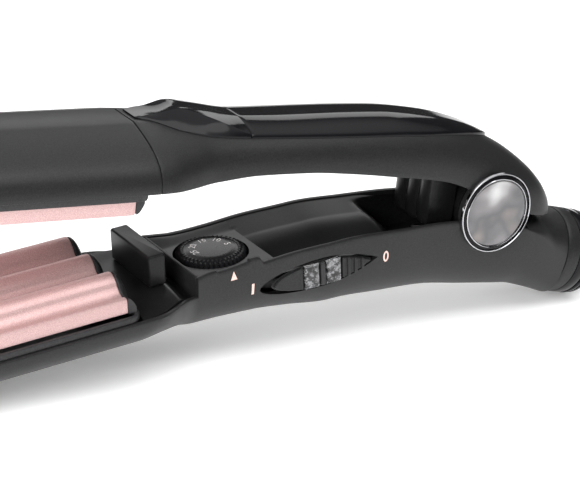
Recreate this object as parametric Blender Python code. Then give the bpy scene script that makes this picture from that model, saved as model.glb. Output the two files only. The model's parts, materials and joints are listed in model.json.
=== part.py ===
"""Hair crimper: two hinged arms with waved plates, a dial, a slide switch and a cord swivel.

Everything is designed in millimetres in the arm frame: the origin is on the hinge axis, +X runs
towards the cord end, -Y is the side with the switch and +Z is up.  The lower arm lies along X.
The upper arm is drawn closed and is opened by its pivot empty.  A last empty tilts the tool so
that it stands on a flat facet under its tip and on the swivel collar at its tail.
"""
import math

import bmesh
import bpy
import numpy as np
from mathutils import Matrix, Vector

MM = 0.001
GAP = 0.3

# Driving dimensions (mm, degrees)
OPEN_ANGLE = 10.5
TIP_X = -250.0
CASE_HALF_W = 29.3
CASE_RIM = 2.5
CASE_BASE = -11.7
CASE_FLAT = 6.8
UPPER_RIM = 18.7
UPPER_TOP = 34.6
SEAM_X = -135.0
WALL = 2.0

PLATE_X0, PLATE_X1 = -241.0, -141.6
PLATE_HALF_W = 26.0
CREST_Z = 15.3
VALLEY_Z = 9.6
FLANGE_Z = 10.4
RIDGE_PITCH = 15.4
PLATE_GAP = 0.9
PLATE_SKIN = 1.6
FRAME_X0, FRAME_X1 = -246.5, -137.3
FRAME_HALF_W = 28.0
FRAME_TOP = 4.8
LOWER_SKIRT, UPPER_SKIRT = 5.6, 15.8
END_LEN, END_LEAN, UPPER_END_TOP = 3.0, 2.6, 19.6
UPPER_FRAME = (16.3, 18.4)

DECK_X0, DECK_X1 = -136.9, -114.6
BLOCK_X, BLOCK_HALF_W, BLOCK_TOP, BLOCK_LEN = -124.7, 13.4, 15.5, 6.2

DIAL_X, DIAL_R, DIAL_TOP = -98.8, 11.6, 6.3
DIAL_TEETH = 44
SWITCH_X, SWITCH_Z = -70.5, -4.0
SWITCH_HALF_L, SWITCH_HALF_H = 22.0, 5.2
SLIDER_HALF_L, SLIDER_HALF_H = 19.0, 4.5

PIN_R = 3.0
CHEEK_R = 13.0
CHEEK_OUT = 17.3
BEZEL_R, BEZEL_IN_R = 14.0, 12.3
BEZEL_BACK = 17.9
KNUCKLE_R = 11.0
KNUCKLE_HALF_W = 12.4

SPRING_X, SPRING_R, SPRING_WIRE = -17.1, 2.9, 0.5
SPRING_BOTTOM, SPRING_TOP, SPRING_TURNS = -9.4, 14.0, 5

TAIL_X, TAIL_Z, TAIL_R, TAIL_TILT = 32.6, -28.8, 14.7, 21.0
COLLAR_R, COLLAR_LEN = 15.1, 17.0
INLET_R = 3.6


# ---------------------------------------------------------------- scene, materials, helpers

def clear_scene():
    for old in list(bpy.data.objects):
        bpy.data.objects.remove(old, do_unlink=True)


def material(name, color, roughness, metallic=0.0):
    mat = bpy.data.materials.new(name)
    mat.use_nodes = True
    shader = mat.node_tree.nodes["Principled BSDF"]
    shader.inputs["Base Color"].default_value = (*color, 1.0)
    shader.inputs["Roughness"].default_value = roughness
    shader.inputs["Metallic"].default_value = metallic
    return mat


FINISHES = {
    "casing": ((0.030, 0.030, 0.032), 0.50, 0.0),
    "inner_plastic": ((0.045, 0.045, 0.047), 0.60, 0.0),
    "gloss_black": ((0.008, 0.008, 0.009), 0.08, 0.0),
    "rose_gold": ((0.72, 0.47, 0.42), 0.32, 1.0),
    "chrome": ((0.80, 0.80, 0.82), 0.10, 1.0),
    "silver_disc": ((0.78, 0.78, 0.80), 0.22, 1.0),
    "ceramic": ((0.82, 0.80, 0.74), 0.60, 0.0),
    "aluminium": ((0.70, 0.70, 0.71), 0.35, 1.0),
    "steel": ((0.55, 0.55, 0.56), 0.30, 1.0),
    "circuit_board": ((0.03, 0.18, 0.07), 0.45, 0.0),
    "component": ((0.10, 0.10, 0.11), 0.50, 0.0),
    "clear_lens": ((0.75, 0.76, 0.78), 0.10, 0.0),
}


def finish(name):
    """Every sub-part gets a material of its own, made from a shared finish."""
    color, roughness, metallic = FINISHES[name]
    return material(name, color, roughness, metallic)


def add_object(name, bm, parent, look, smooth=35.0):
    bmesh.ops.remove_doubles(bm, verts=bm.verts, dist=1e-7)
    bmesh.ops.recalc_face_normals(bm, faces=bm.faces)
    mesh = bpy.data.meshes.new(name)
    bm.to_mesh(mesh)
    bm.free()
    mesh.shade_smooth()
    mesh.set_sharp_from_angle(angle=math.radians(smooth))
    obj = bpy.data.objects.new(name, mesh)
    bpy.context.scene.collection.objects.link(obj)
    obj.parent = parent
    if look is not None:
        obj.data.materials.append(finish(look))
    return obj


def cutter(name, bm, parent):
    obj = add_object(name, bm, parent, None)
    obj.hide_render = True
    obj.display_type = "WIRE"
    return obj


def combine(obj, other, operation="DIFFERENCE"):
    mod = obj.modifiers.new(other.name, "BOOLEAN")
    mod.operation = operation
    mod.solver = "EXACT"
    mod.object = other


def bevel(obj, width, segments=2, angle=40.0):
    mod = obj.modifiers.new("edge_round", "BEVEL")
    mod.width = width * MM
    mod.segments = segments
    mod.limit_method = "ANGLE"
    mod.angle_limit = math.radians(angle)


def track(keys):
    """Smooth curve through (position, value) keys that never overshoots them."""
    xs = np.array([k[0] for k in keys], float)
    ys = np.array([k[1] for k in keys], float)
    step = np.diff(xs)
    slope = np.diff(ys) / step
    tangent = np.zeros(len(xs))
    for i in range(1, len(xs) - 1):
        if slope[i - 1] * slope[i] > 0:
            w1, w2 = 2 * step[i] + step[i - 1], step[i] + 2 * step[i - 1]
            tangent[i] = (w1 + w2) / (w1 / slope[i - 1] + w2 / slope[i])
    tangent[0], tangent[-1] = slope[0], slope[-1]

    def value(x):
        x = min(max(x, xs[0]), xs[-1])
        i = min(int(np.searchsorted(xs, x, side="right")) - 1, len(step) - 1)
        t = (x - xs[i]) / step[i]
        h00, h10 = (1 + 2 * t) * (1 - t) ** 2, t * (1 - t) ** 2
        h01, h11 = t * t * (3 - 2 * t), t * t * (t - 1)
        return (h00 * ys[i] + h10 * step[i] * tangent[i]
                + h01 * ys[i + 1] + h11 * step[i] * tangent[i + 1])
    return value


def ring_body(rings):
    """Closed body through equal-length rings of (x, y, z) points in mm, capped at both ends."""
    bm = bmesh.new()
    loops = [[bm.verts.new(Vector(p) * MM) for p in ring] for ring in rings]
    count = len(loops[0])
    for a, b in zip(loops, loops[1:]):
        for i in range(count):
            j = (i + 1) % count
            bm.faces.new((a[i], a[j], b[j], b[i]))
    bm.faces.new(loops[0][::-1])
    bm.faces.new(loops[-1])
    return bm


def prism(points, low, high, axis="X"):
    """Outline (u, v) extruded along an axis; u, v are the two other axes in cyclic order."""
    place = {"X": lambda u, v, w: (w, u, v), "Y": lambda u, v, w: (v, w, u),
             "Z": lambda u, v, w: (u, v, w)}[axis]
    return ring_body([[place(u, v, w) for u, v in points] for w in (low, high)])


def box(x, y, z):
    return prism([(y[0], z[0]), (y[1], z[0]), (y[1], z[1]), (y[0], z[1])], x[0], x[1])


def circle(cx, cy, r, count=32):
    return [(cx + r * math.cos(2 * math.pi * i / count),
             cy + r * math.sin(2 * math.pi * i / count)) for i in range(count)]


def turned(profile, count=48):
    """Body turned about Z from (radius, height) points listed up the outside; mm."""
    bm = bmesh.new()
    rings = []
    for r, h in profile:
        if r < 1e-6:
            rings.append([bm.verts.new((0, 0, h * MM))])
            continue
        rings.append([bm.verts.new((x * MM, y * MM, h * MM)) for x, y in circle(0, 0, r, count)])
    closed = rings + ([rings[0]] if len(rings[0]) > 1 and len(rings[-1]) > 1 else [])
    for a, b in zip(closed, closed[1:]):
        for i in range(count):
            j = (i + 1) % count
            if len(a) == 1:
                bm.faces.new((a[0], b[j], b[i]))
            elif len(b) == 1:
                bm.faces.new((a[i], a[j], b[0]))
            else:
                bm.faces.new((a[i], a[j], b[j], b[i]))
    return bm


def moved(bm, x=0.0, y=0.0, z=0.0, turn=None):
    matrix = Matrix.Translation(Vector((x, y, z)) * MM)
    if turn is not None:
        matrix = matrix @ Matrix.Rotation(math.radians(turn[0]), 4, turn[1])
    bmesh.ops.transform(bm, matrix=matrix, verts=bm.verts)
    return bm


def spread(low, high, count):
    return [low + (high - low) * i / (count - 1) for i in range(count)]


# ---------------------------------------------------------------- arm surfaces

def half_section(w, rim, base, flat, lift, count=8, stop=None):
    """Half of a bowl section from the middle of its base to its rim, or to a lower stop height."""
    depth = rim - base
    boxy = 1.0 - min(max(flat - 1.0, 0.0), 5.0) / 5.0
    p0, p1 = (w, rim), (w, rim - depth * (0.58 + 0.17 * boxy))
    p2, p3 = (flat + (w - flat) * (0.64 + 0.11 * boxy), base + depth * lift), (flat, base)

    def at(t):
        a, b, c, d = (1 - t) ** 3, 3 * t * (1 - t) ** 2, 3 * t * t * (1 - t), t ** 3
        return tuple(a * p0[k] + b * p1[k] + c * p2[k] + d * p3[k] for k in (0, 1))

    first = 0.0
    if stop is not None:
        ts = np.linspace(0.0, 1.0, 60)
        first = float(np.interp(-stop, [-at(t)[1] for t in ts], ts))
    return [(0.0, base)] + [at(first + (1 - first) * i / count) for i in range(count, -1, -1)]


def closed_section(far, near, crown, count=6):
    """Full ring: two halves of a bowl, then a crown of the given height over their rims."""
    def side(half):
        w, rim = half[-1]
        angles = [math.pi * i / (2 * count) for i in range(1, count)]
        return half[1:] + [(w * math.cos(a), rim + (top - rim) * math.sin(a)) for a in angles]
    top = max(far[-1][1], near[-1][1]) + crown
    return [far[0]] + side(far) + [(0.0, top)] + [(-y, z) for y, z in reversed(side(near))]


# Lower arm stations: x, z and tilt of the section centre, half-width, rim, base, flat, lift, crown
LOWER = [
    (-250.0, 0, 0, 24.0, 2.5, -8.2, 6.0, 0.25, 0.3),
    (-247.0, 0, 0, 27.6, 2.5, -10.4, 6.6, 0.25, 0.3),
    (-241.0, 0, 0, 29.0, 2.5, CASE_BASE + 0.2, CASE_FLAT, 0.25, 0.3),
    (-230.0, 0, 0, CASE_HALF_W, CASE_RIM, CASE_BASE, CASE_FLAT, 0.25, 0.3),
    (-138.0, 0, 0, CASE_HALF_W, CASE_RIM, CASE_BASE, CASE_FLAT, 0.25, 0.3),
    (-130.0, 0, 0, 28.2, 3.4, -11.6, 6.0, 0.22, 0.3),
    (-121.0, 0, 0, 23.6, 4.8, -12.5, 3.0, 0.14, 0.3),
    (-114.1, 0, 0, 19.9, 5.5, -14.1, 1.0, 0.05, 0.3),
    (-104.0, 0, 0, 19.2, 5.5, -14.6, 1.0, 0.03, 0.3),
    (-91.0, 0, 0.3, 19.0, 5.6, -15.4, 1.0, 0.0, 0.3),
    (-78.0, 0, 1, 19.0, 6.0, -17.4, 1.0, 0.0, 0.3),
    (-60.0, 0, 3, 19.0, 5.5, -20.4, 1.0, 0.0, 0.3),
    (-40.0, -2, 6, 18.7, 5.4, -20.6, 1.0, 0.0, 0.3),
    (-20.0, -5, 10, 18.0, 5.8, -20.5, 1.0, 0.0, 0.3),
    (-5.0, -10.5, 15, 17.7, 7.8, -19.1, 1.0, 0.0, 0.4),
    (9.0, -16.8, 18.5, 17.5, 8.4, -16.6, 1.0, 0.0, 1.5),
    (18.0, -21.5, 20, 17.0, 7.4, -14.6, 1.0, 0.0, 5.2),
    (25.0, -25.0, 21, 16.0, 3.6, -14.4, 1.0, 0.0, 9.0),
    (TAIL_X, TAIL_Z, TAIL_TILT, TAIL_R, 0.0, -TAIL_R, 1.0, 0.0, TAIL_R),
]
# Height where the front of the lower arm stops below its section's own rim, and the raised lip
# on the near side of the handle beside the dial
DECK_EDGE = track([(TIP_X, CASE_RIM), (-138.0, CASE_RIM), (-130.0, 2.2), (-121.0, 2.0), (-114.1, 2.0)])
HANDLE_START = -113.9
NEAR_LIP = track([(HANDLE_START, 1.9), (-94.5, 1.9), (-91.5, 0.0), (-80.0, 0.0)])
LOWER_TRACKS = [track([(row[0], row[i]) for row in LOWER]) for i in range(1, len(LOWER[0]))]

# Upper arm stations, closed: x, half-width, bottom rim, top, flat, lift
UPPER = [
    (-250.0, 24.0, UPPER_RIM, 30.8, 6.0, 0.25),
    (-247.0, 27.6, UPPER_RIM, 33.0, 6.6, 0.25),
    (-241.0, 29.0, UPPER_RIM, 34.3, 6.8, 0.25),
    (-230.0, 29.3, UPPER_RIM, UPPER_TOP, 6.8, 0.25),
    (-138.0, 29.3, UPPER_RIM, UPPER_TOP, 6.8, 0.25),
    (-130.0, 28.4, 18.5, 34.4, 6.2, 0.24),
    (-121.0, 25.0, 18.2, 33.9, 5.0, 0.20),
    (-110.0, 20.9, 18.2, 33.2, 4.0, 0.15),
    (-95.0, 19.1, 18.7, 32.6, 4.0, 0.10),
    (-76.0, 18.9, 18.4, 32.1, 4.0, 0.07),
    (-60.0, 18.9, 17.1, 32.0, 4.0, 0.07),
    (-42.0, 18.8, 14.9, 31.6, 4.0, 0.07),
    (-22.0, 18.2, 11.9, 29.4, 4.0, 0.07),
    (-8.0, 17.8, 7.0, 26.1, 3.5, 0.07),
    (5.0, 17.5, 1.2, 20.9, 3.0, 0.07),
    (14.0, 17.0, -2.0, 16.0, 2.5, 0.06),
    (21.0, 15.9, -3.6, 10.9, 2.0, 0.05),
    (25.8, 13.8, -4.6, 5.6, 1.5, 0.05),
    (28.6, 11.0, -5.2, 0.6, 1.0, 0.05),
    (29.6, 8.6, -5.6, -2.6, 1.0, 0.05),
]
UPPER_TRACKS = [track([(row[0], row[i]) for row in UPPER]) for i in range(1, len(UPPER[0]))]


def lower_ring(x):
    """Outer section of the lower arm at station x."""
    z0, tilt, w, rim, base, flat, lift, crown = [f(x) for f in LOWER_TRACKS]
    stop = DECK_EDGE(x) if x < HANDLE_START else None
    far = half_section(w, rim, base, flat, lift, stop=stop)
    lip = NEAR_LIP(x) if x >= HANDLE_START else 0.0
    near = half_section(w, rim + lip, base, flat, lift, stop=stop) if lip else far
    ring = closed_section(far, near, crown)
    s, c = math.sin(math.radians(tilt)), math.cos(math.radians(tilt))
    return [(x + h * s, y, z0 + h * c) for y, h in ring]


def lower_cavity_ring(x, wall, above):
    """Inside of the lower arm at station x, open above its rim."""
    z0, tilt, w, rim, base, flat, lift, _ = [f(x) for f in LOWER_TRACKS]
    half = half_section(w - wall, rim, base + wall, flat, lift) + [(w - wall, rim + above)]
    ring = half + [(-y, h) for y, h in reversed(half[1:])]
    s, c = math.sin(math.radians(tilt)), math.cos(math.radians(tilt))
    return [(x + h * s, y, z0 + h * c) for y, h in ring]


def upper_ring(x, wall=0.0, below=0.0):
    """Section of the closed upper arm at station x, inset by a wall and run on below its rim."""
    w, rim, top, flat, lift = [f(x) for f in UPPER_TRACKS]
    half = half_section(w - wall, -rim, -(top - wall), flat, lift)
    if below:
        half.append((w - wall, -rim + below))
    ring = half + [(-y, h) for y, h in reversed(half[1:])]
    return [(x, y, -h) for y, h in ring]


def lower_rim(x):
    """Height of the lower arm's rim at x, for stations whose tilt is small."""
    z0, tilt, _, rim = [f(x) for f in LOWER_TRACKS[:4]]
    return z0 + rim * math.cos(math.radians(tilt))


def upper_surface(x, y):
    """Height of the upper arm's outer skin over (x, y)."""
    w, rim, top, flat, lift = [f(x) for f in UPPER_TRACKS]
    half = half_section(w, -rim, -top, flat, lift, 24)
    ys, hs = [p[0] for p in half], [-p[1] for p in half]
    return float(np.interp(min(abs(y), w - 0.01), ys, hs))


def slab(xs, half_width, top, bottom, count=12, y_mid=0.0):
    """Closed sheet over stations xs and |y| <= half_width(x) between two height functions."""
    bm = bmesh.new()
    grids = []
    for height in (top, bottom):
        grid = []
        for x in xs:
            w = half_width(x)
            row = [y_mid + w * (2 * j / count - 1) for j in range(count + 1)]
            grid.append([bm.verts.new(Vector((x, y, height(x, y))) * MM) for y in row])
        grids.append(grid)
    upper, lower = grids
    rows, cols = len(xs), count + 1
    for i in range(rows - 1):
        for j in range(cols - 1):
            bm.faces.new((upper[i][j], upper[i + 1][j], upper[i + 1][j + 1], upper[i][j + 1]))
            bm.faces.new((lower[i][j], lower[i][j + 1], lower[i + 1][j + 1], lower[i + 1][j]))
        for j in (0, cols - 1):
            bm.faces.new((upper[i][j], lower[i][j], lower[i + 1][j], upper[i + 1][j]))
    for j in range(cols - 1):
        for i in (0, rows - 1):
            bm.faces.new((upper[i][j], upper[i][j + 1], lower[i][j + 1], lower[i][j]))
    return bm


# ---------------------------------------------------------------- lower arm

def stations(keys, per_span=2):
    """Key stations with evenly spaced ones between them."""
    out = [keys[0]]
    for a, b in zip(keys, keys[1:]):
        n = per_span if b - a > 3.0 else 1
        out += [a + (b - a) * k / n for k in range(1, n + 1)]
    return out


def rest_plane():
    """Slope (degrees) and contact points of the floor under the tip and the swivel collar."""
    s, c = math.sin(math.radians(TAIL_TILT)), math.cos(math.radians(TAIL_TILT))
    reach = COLLAR_LEN - 1.5
    tail = (TAIL_X + reach * c - COLLAR_R * s, TAIL_Z - reach * s - COLLAR_R * c)
    tip = (-233.0, CASE_BASE)
    slope = math.atan2(tip[1] - tail[1], tail[0] - tip[0])
    return math.degrees(slope), tip, tail


def lower_casing(parent):
    """One shell from tip to tail: plate tray, handle, hinge cheeks and hollow tail."""
    keys = sorted([row[0] for row in LOWER] + [HANDLE_START, -94.5, -91.6])
    case = add_object("lower_casing", ring_body([lower_ring(x) for x in stations(keys)]),
                      parent, "casing")
    cheeks = prism(circle(0, 0, CHEEK_R, 40), -CHEEK_OUT, CHEEK_OUT, "Y")
    combine(case, cutter("add_hinge_cheeks", cheeks, parent), "UNION")
    cavity_keys = [x for x in keys if -247.0 < x <= 9.0] + [12.0]
    cavity = [lower_cavity_ring(x, WALL, 24.0) for x in stations([-246.9] + cavity_keys)]
    combine(case, cutter("cut_lower_cavity", ring_body(cavity), parent))
    bore = moved(prism(circle(0, 0, PIN_R + GAP, 24), -30, 30, "Y"))
    combine(case, cutter("cut_lower_pin_bore", bore, parent))
    tail = prism(circle(0, 0, 8.5, 32), -34, 30, "Z")
    tail = moved(tail, TAIL_X, 0, TAIL_Z, (90 + TAIL_TILT, "Y"))
    combine(case, cutter("cut_tail_bore", tail, parent))
    almond = prism(almond_outline(SWITCH_HALF_L, SWITCH_HALF_H), -24, -15.6, "Y")
    combine(case, cutter("cut_switch_slot", moved(almond, SWITCH_X, 0, SWITCH_Z), parent))
    slope, tip, _ = rest_plane()
    facet = moved(box((-60, 0), (-40, 40), (-30, 0)), tip[0], 0, tip[1], (slope, "Y"))
    combine(case, cutter("cut_rest_facet", facet, parent))
    for i, (x, z) in enumerate(HANDLE_SCREWS):
        hole = prism(circle(0, 0, 2.9, 20), -8, 12, "Z")
        combine(case, cutter(f"cut_handle_screw_{i}", moved(hole, x, 0, z), parent))
    return case


def almond_outline(half_l, half_h, count=14):
    """Pointed oval from two arcs; (z, x) points."""
    radius = (half_l ** 2 + half_h ** 2) / (2 * half_h)
    angle = math.asin(half_l / radius)
    arc = [(radius * math.cos(a) - (radius - half_h), radius * math.sin(a))
           for a in spread(-angle, angle, count)]
    return arc + [(-z, x) for z, x in arc[::-1][1:-1]]


HANDLE_SCREWS = [(-88.0, -13.0), (-34.0, -22.0)]


def handle_screw(name, parent, x, z):
    """Countersunk screw in the underside of the lower handle."""
    profile = [(0, 4.2), (1.3, 3.9), (1.3, 2.4), (2.5, 0.8), (2.5, 0.0), (1.0, 0.0), (1.0, 1.0), (0, 1.0)]
    bm = turned(profile[::-1], 20)
    return add_object(name, moved(bm, x, 0, z + 1.2), parent, "steel")


def ridge_profile(y):
    """Height of the waved plate over y: three crests with a valley at each side of them."""
    mid, amp = (CREST_Z + VALLEY_Z) / 2, (CREST_Z - VALLEY_Z) / 2
    wave = math.cos(2 * math.pi * y / RIDGE_PITCH)
    wave = math.copysign(abs(wave) ** 0.8, wave)
    if abs(y) > 1.5 * RIDGE_PITCH:
        return min(FLANGE_Z, VALLEY_Z + (abs(y) - 1.5 * RIDGE_PITCH) * 0.7)
    return mid + amp * wave


def plate_outline(shift, skin, skirt):
    """Sheet outline of a plate: the waves and a skirt down (or up) each side; (y, z)."""
    ys = spread(-PLATE_HALF_W, PLATE_HALF_W, 49)
    face = [(y, ridge_profile(y) + shift) for y in ys]
    inner = PLATE_HALF_W - abs(skin)
    back = [(y, ridge_profile(y) + shift - skin) for y in spread(-inner, inner, 49)]
    return face + [(PLATE_HALF_W, skirt), (inner, skirt)] + back[::-1] + [(-inner, skirt),
                                                                        (-PLATE_HALF_W, skirt)]


def end_cap(name, parent, x0, x1, shift, skirt, lean):
    """Plastic end of the waves: the wave face slopes off by `lean` towards the cap's foot."""
    ys = spread(-PLATE_HALF_W + 0.3, PLATE_HALF_W - 0.3, 33)
    rings = []
    for x, fall in ((x0, 0.0), (x1, lean)):
        face = [(y, ridge_profile(y) + shift - fall) for y in ys]
        rings.append([(x, y, z) for y, z in face] + [(x, ys[-1], skirt), (x, ys[0], skirt)])
    return add_object(name, ring_body(rings), parent, "casing")


def plate_frame(name, parent, z0, z1):
    """Rectangular carrier round a plate; its opening holds the plate's skirt."""
    outer = [(FRAME_X0, -FRAME_HALF_W), (FRAME_X1, -FRAME_HALF_W),
             (FRAME_X1, FRAME_HALF_W), (FRAME_X0, FRAME_HALF_W)]
    frame = add_object(name, prism(outer, z0, z1, "Z"), parent, "casing")
    bevel(frame, 1.0, 1)
    y = PLATE_HALF_W + GAP
    hole = box((PLATE_X0 - 3.3, PLATE_X1 + 3.3), (-y, y), (min(z0, z1) - 5, max(z0, z1) + 5))
    combine(frame, cutter("cut_" + name, hole, parent))
    return frame


def heater_stack(prefix, parent, z, up):
    """Ceramic heater, the spring clamp that presses it to its plate, and its thermal fuse."""
    x0, x1 = PLATE_X0 + 12, PLATE_X1 - 12
    side = 1 if up else -1
    heater = box((x0, x1), (-9, 9), sorted((z, z + side * 2.2)))
    add_object(prefix + "_heater", heater, parent, "ceramic")
    base = z + side * 2.5
    lip = base - side * 1.6
    clamp = prism([(-12, base + side * 1.2), (12, base + side * 1.2), (12, lip), (10.5, lip),
                   (10.5, base), (-10.5, base), (-10.5, lip), (-12, lip)], x0 + 4, x1 - 4)
    add_object(prefix + "_heater_clamp", clamp, parent, "aluminium")
    fuse = prism(circle(0, base + side * 2.8, 1.3, 12), x0 + 26, x0 + 40)
    add_object(prefix + "_thermal_fuse", fuse, parent, "steel")


WELL_X0, WELL_X1, WELL_FLOOR, WELL_HALF_W = -26.0, -11.7, -10.6, 12.6


def cover_height(x, y):
    """Top of the lower inner cover: level by the dial, then a long shallow trough."""
    if x < -87.0:
        return 5.2
    level = min(lower_rim(x) - 2.0, 3.2)
    if x > WELL_X0 and abs(y) < WELL_HALF_W:
        return WELL_FLOOR
    trough = 4.0 if abs(y) < 8.3 and x > -84.5 else 0.0
    return level - trough


def lower_inner_cover(parent):
    xs = [-113.5, -106.0, -92.0, -87.4, -86.6, -84.8, -84.2] + spread(-76.0, -27.2, 7)
    xs += [WELL_X0 + 0.4, WELL_X1]
    bm = slab(xs, lambda x: LOWER_TRACKS[2](x) - WALL - 0.9, cover_height,
              lambda x, y: cover_height(x, y) - 1.8, 16)
    cover = add_object("lower_inner_cover", bm, parent, "inner_plastic")
    hole = moved(prism(circle(0, 0, DIAL_R + 0.7, 40), -4, 12, "Z"), DIAL_X)
    combine(cover, cutter("cut_dial_opening", hole, parent))
    front = box((-113.9, -112.3), (-15.0, 15.0), (-2.0, 4.4))
    combine(cover, cutter("add_cover_front", front, parent), "UNION")
    return cover


def guide_deck(parent):
    """Crowned floor between the plate and the handle, with the guide block standing on it."""
    def top(x, y):
        return 5.4 - 3.2 * (abs(y) / 26.0) ** 2.2
    width = track([(DECK_X0, 26.4), (-130.0, 25.2), (-121.0, 20.6), (DECK_X1, 17.0)])
    xs = spread(DECK_X0, DECK_X1, 8)
    add_object("guide_deck", slab(xs, width, top, lambda x, y: top(x, y) - 2.0, 12),
               parent, "inner_plastic")
    x0, x1 = BLOCK_X - BLOCK_LEN / 2, BLOCK_X + BLOCK_LEN / 2
    block = box((x0, x1), (-BLOCK_HALF_W, BLOCK_HALF_W), (5.4 + GAP, BLOCK_TOP))
    bevel(add_object("guide_block", block, parent, "casing"), 0.9, 2)


def dial(parent):
    """Knurled temperature dial; its origin is on its own axis."""
    count = DIAL_TEETH * 4
    levels = [(1.6, 0.94), (2.4, 1.0), (DIAL_TOP - 0.9, 1.0), (DIAL_TOP - 0.2, 0.92)]
    rings = []
    for z, k in levels:
        ring = []
        for i in range(count):
            groove = 0.55 if i % 4 in (0, 1) else 0.0
            r = (DIAL_R - groove * (k == 1.0)) * k
            a = 2 * math.pi * i / count
            ring.append((r * math.cos(a), r * math.sin(a), z))
        rings.append(ring)
    rings.append([(p[0] * 0.8, p[1] * 0.8, DIAL_TOP) for p in rings[-1]])
    knob = add_object("temperature_dial", ring_body(rings), parent, "gloss_black")
    knob.location = Vector((DIAL_X, 0, 0)) * MM
    return knob


def electronics(parent):
    """Board, dial control, switch body and indicator inside the lower handle."""
    board = box((-109.0, -44.0), (-9.5, 9.5), (-6.8, -5.2))
    add_object("circuit_board", board, parent, "circuit_board")
    pot = turned([(0, 1.2), (2.5, 1.2), (2.5, -1.2), (7.5, -1.2), (7.5, -4.6), (0, -4.6)], 24)
    add_object("dial_control", moved(pot, DIAL_X), parent, "component")
    body = box((SWITCH_X - 9, SWITCH_X + 9), (-12.0, -10.4), (-4.9, 0.2))
    bevel(add_object("switch_body", body, parent, "component"), 0.4, 1)
    plate = moved(prism(almond_outline(SWITCH_HALF_L + 1.0, SWITCH_HALF_H - 0.4), -13.2, -12.2, "Y"),
                  SWITCH_X, 0, SWITCH_Z)
    add_object("switch_backing", plate, parent, "inner_plastic")
    triac = box((-66.0, -57.0), (1.0, 8.0), (-4.9, -3.7))
    add_object("power_switch_chip", triac, parent, "component")


def switch_slider(parent):
    """Almond slider with two clear windows, a post between them and a ridged thumb pad."""
    x = SWITCH_X + SWITCH_HALF_L - SLIDER_HALF_L - 0.4
    almond = moved(prism(almond_outline(SLIDER_HALF_L, SLIDER_HALF_H), -19.1, -16.0, "Y"),
                   x, 0, SWITCH_Z)
    pad = add_object("switch_slider", almond, parent, "casing")
    bevel(pad, 0.5, 1, 60)
    for i, side in enumerate((-1, 1)):
        cx = x - 2.0 + side * 5.0
        lens_box = box((cx - 2.4, cx + 2.4), (-19.7, -17.2), (SWITCH_Z - 3.1, SWITCH_Z + 3.1))
        lens = add_object(f"switch_window_{i + 1}", lens_box, parent, "clear_lens")
        bevel(lens, 0.8, 2)
        seat = box((cx - 2.7, cx + 2.7), (-21.0, -16.9), (SWITCH_Z - 3.4, SWITCH_Z + 3.4))
        combine(pad, cutter(f"cut_window_seat_{i + 1}", seat, parent))
    return pad


def hinge_pin_and_caps(parent):
    pin = prism(circle(0, 0, PIN_R, 24), -17.4, 17.4, "Y")
    add_object("hinge_pin", pin, parent, "steel")
    for label, side in (("near", -1), ("far", 1)):
        washer = turned([(PIN_R + GAP, 0), (7.5, 0), (7.5, 2.0), (PIN_R + GAP, 2.0)], 28)
        moved(washer, 0, side * (KNUCKLE_HALF_W + GAP), 0, (-90 * side, "X"))
        add_object(f"hinge_washer_{label}", washer, parent, "steel")
        ring = turned([(BEZEL_R, 0), (BEZEL_R, 1.3), (BEZEL_R - 0.5, 1.9), (BEZEL_IN_R, 1.9),
                       (BEZEL_IN_R, 0.0)][::-1], 48)
        moved(ring, 0, side * BEZEL_BACK, 0, (-90 * side, "X"))
        add_object(f"hinge_cap_rim_{label}", ring, parent, "chrome")
        face = turned([(0, 0.1), (BEZEL_IN_R - GAP, 0.1), (BEZEL_IN_R - GAP, 1.2), (9.0, 1.75),
                       (5.0, 1.95), (0, 2.0)], 48)
        moved(face, 0, side * BEZEL_BACK, 0, (-90 * side, "X"))
        add_object(f"hinge_cap_disc_{label}", face, parent, "silver_disc")


def tail_swivel(parent):
    """Collar that turns on the tail's axis, with the cord inlet through it; origin on the axis."""
    profile = [(INLET_R, -9.0), (7.9, -9.0), (7.9, GAP), (COLLAR_R - 0.8, GAP), (COLLAR_R, 1.4),
               (COLLAR_R, COLLAR_LEN - 3.4), (COLLAR_R - 1.2, COLLAR_LEN - 1.0),
               (COLLAR_R - 4.2, COLLAR_LEN), (7.6, COLLAR_LEN), (6.6, COLLAR_LEN + 4.0),
               (INLET_R + 1.2, COLLAR_LEN + 4.6), (INLET_R, COLLAR_LEN + 4.4)]
    collar = add_object("cord_swivel", turned(profile, 40), parent, "gloss_black")
    collar.location = Vector((TAIL_X, 0, TAIL_Z)) * MM
    collar.rotation_euler = (0, math.radians(90 + TAIL_TILT), 0)
    return collar


# ---------------------------------------------------------------- upper arm

def upper_front_casing(parent):
    keys = [row[0] for row in UPPER if row[0] <= -138.0] + [SEAM_X]
    case = add_object("upper_front_casing", ring_body([upper_ring(x) for x in stations(keys)]),
                      parent, "casing")
    xs = [-246.8, -243.0] + [x for x in keys if -243.0 < x < SEAM_X] + [SEAM_X + 4]
    cavity = [upper_ring(min(x, 0), WALL, 8.0) for x in xs]
    combine(case, cutter("cut_upper_front", ring_body(cavity), parent))


def upper_handle_shell(parent):
    keys = [SEAM_X + GAP] + [row[0] for row in UPPER if row[0] > SEAM_X]
    shell = add_object("upper_handle_shell", ring_body([upper_ring(x) for x in stations(keys)]),
                       parent, "casing")
    xs = [SEAM_X - 4] + [x for x in keys if SEAM_X < x < 22] + [24.5]
    cavity = [upper_ring(x, WALL, 8.0) for x in stations(xs)]
    combine(shell, cutter("cut_upper_handle", ring_body(cavity), parent))
    for side in (-1, 1):
        low, high = sorted((side * 14.9, side * 24.0))
        notch = prism(circle(0, 0, CHEEK_R + 0.6, 40), low, high, "Y")
        combine(shell, cutter(f"cut_cheek_clearance_{side}", notch, parent))


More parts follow.
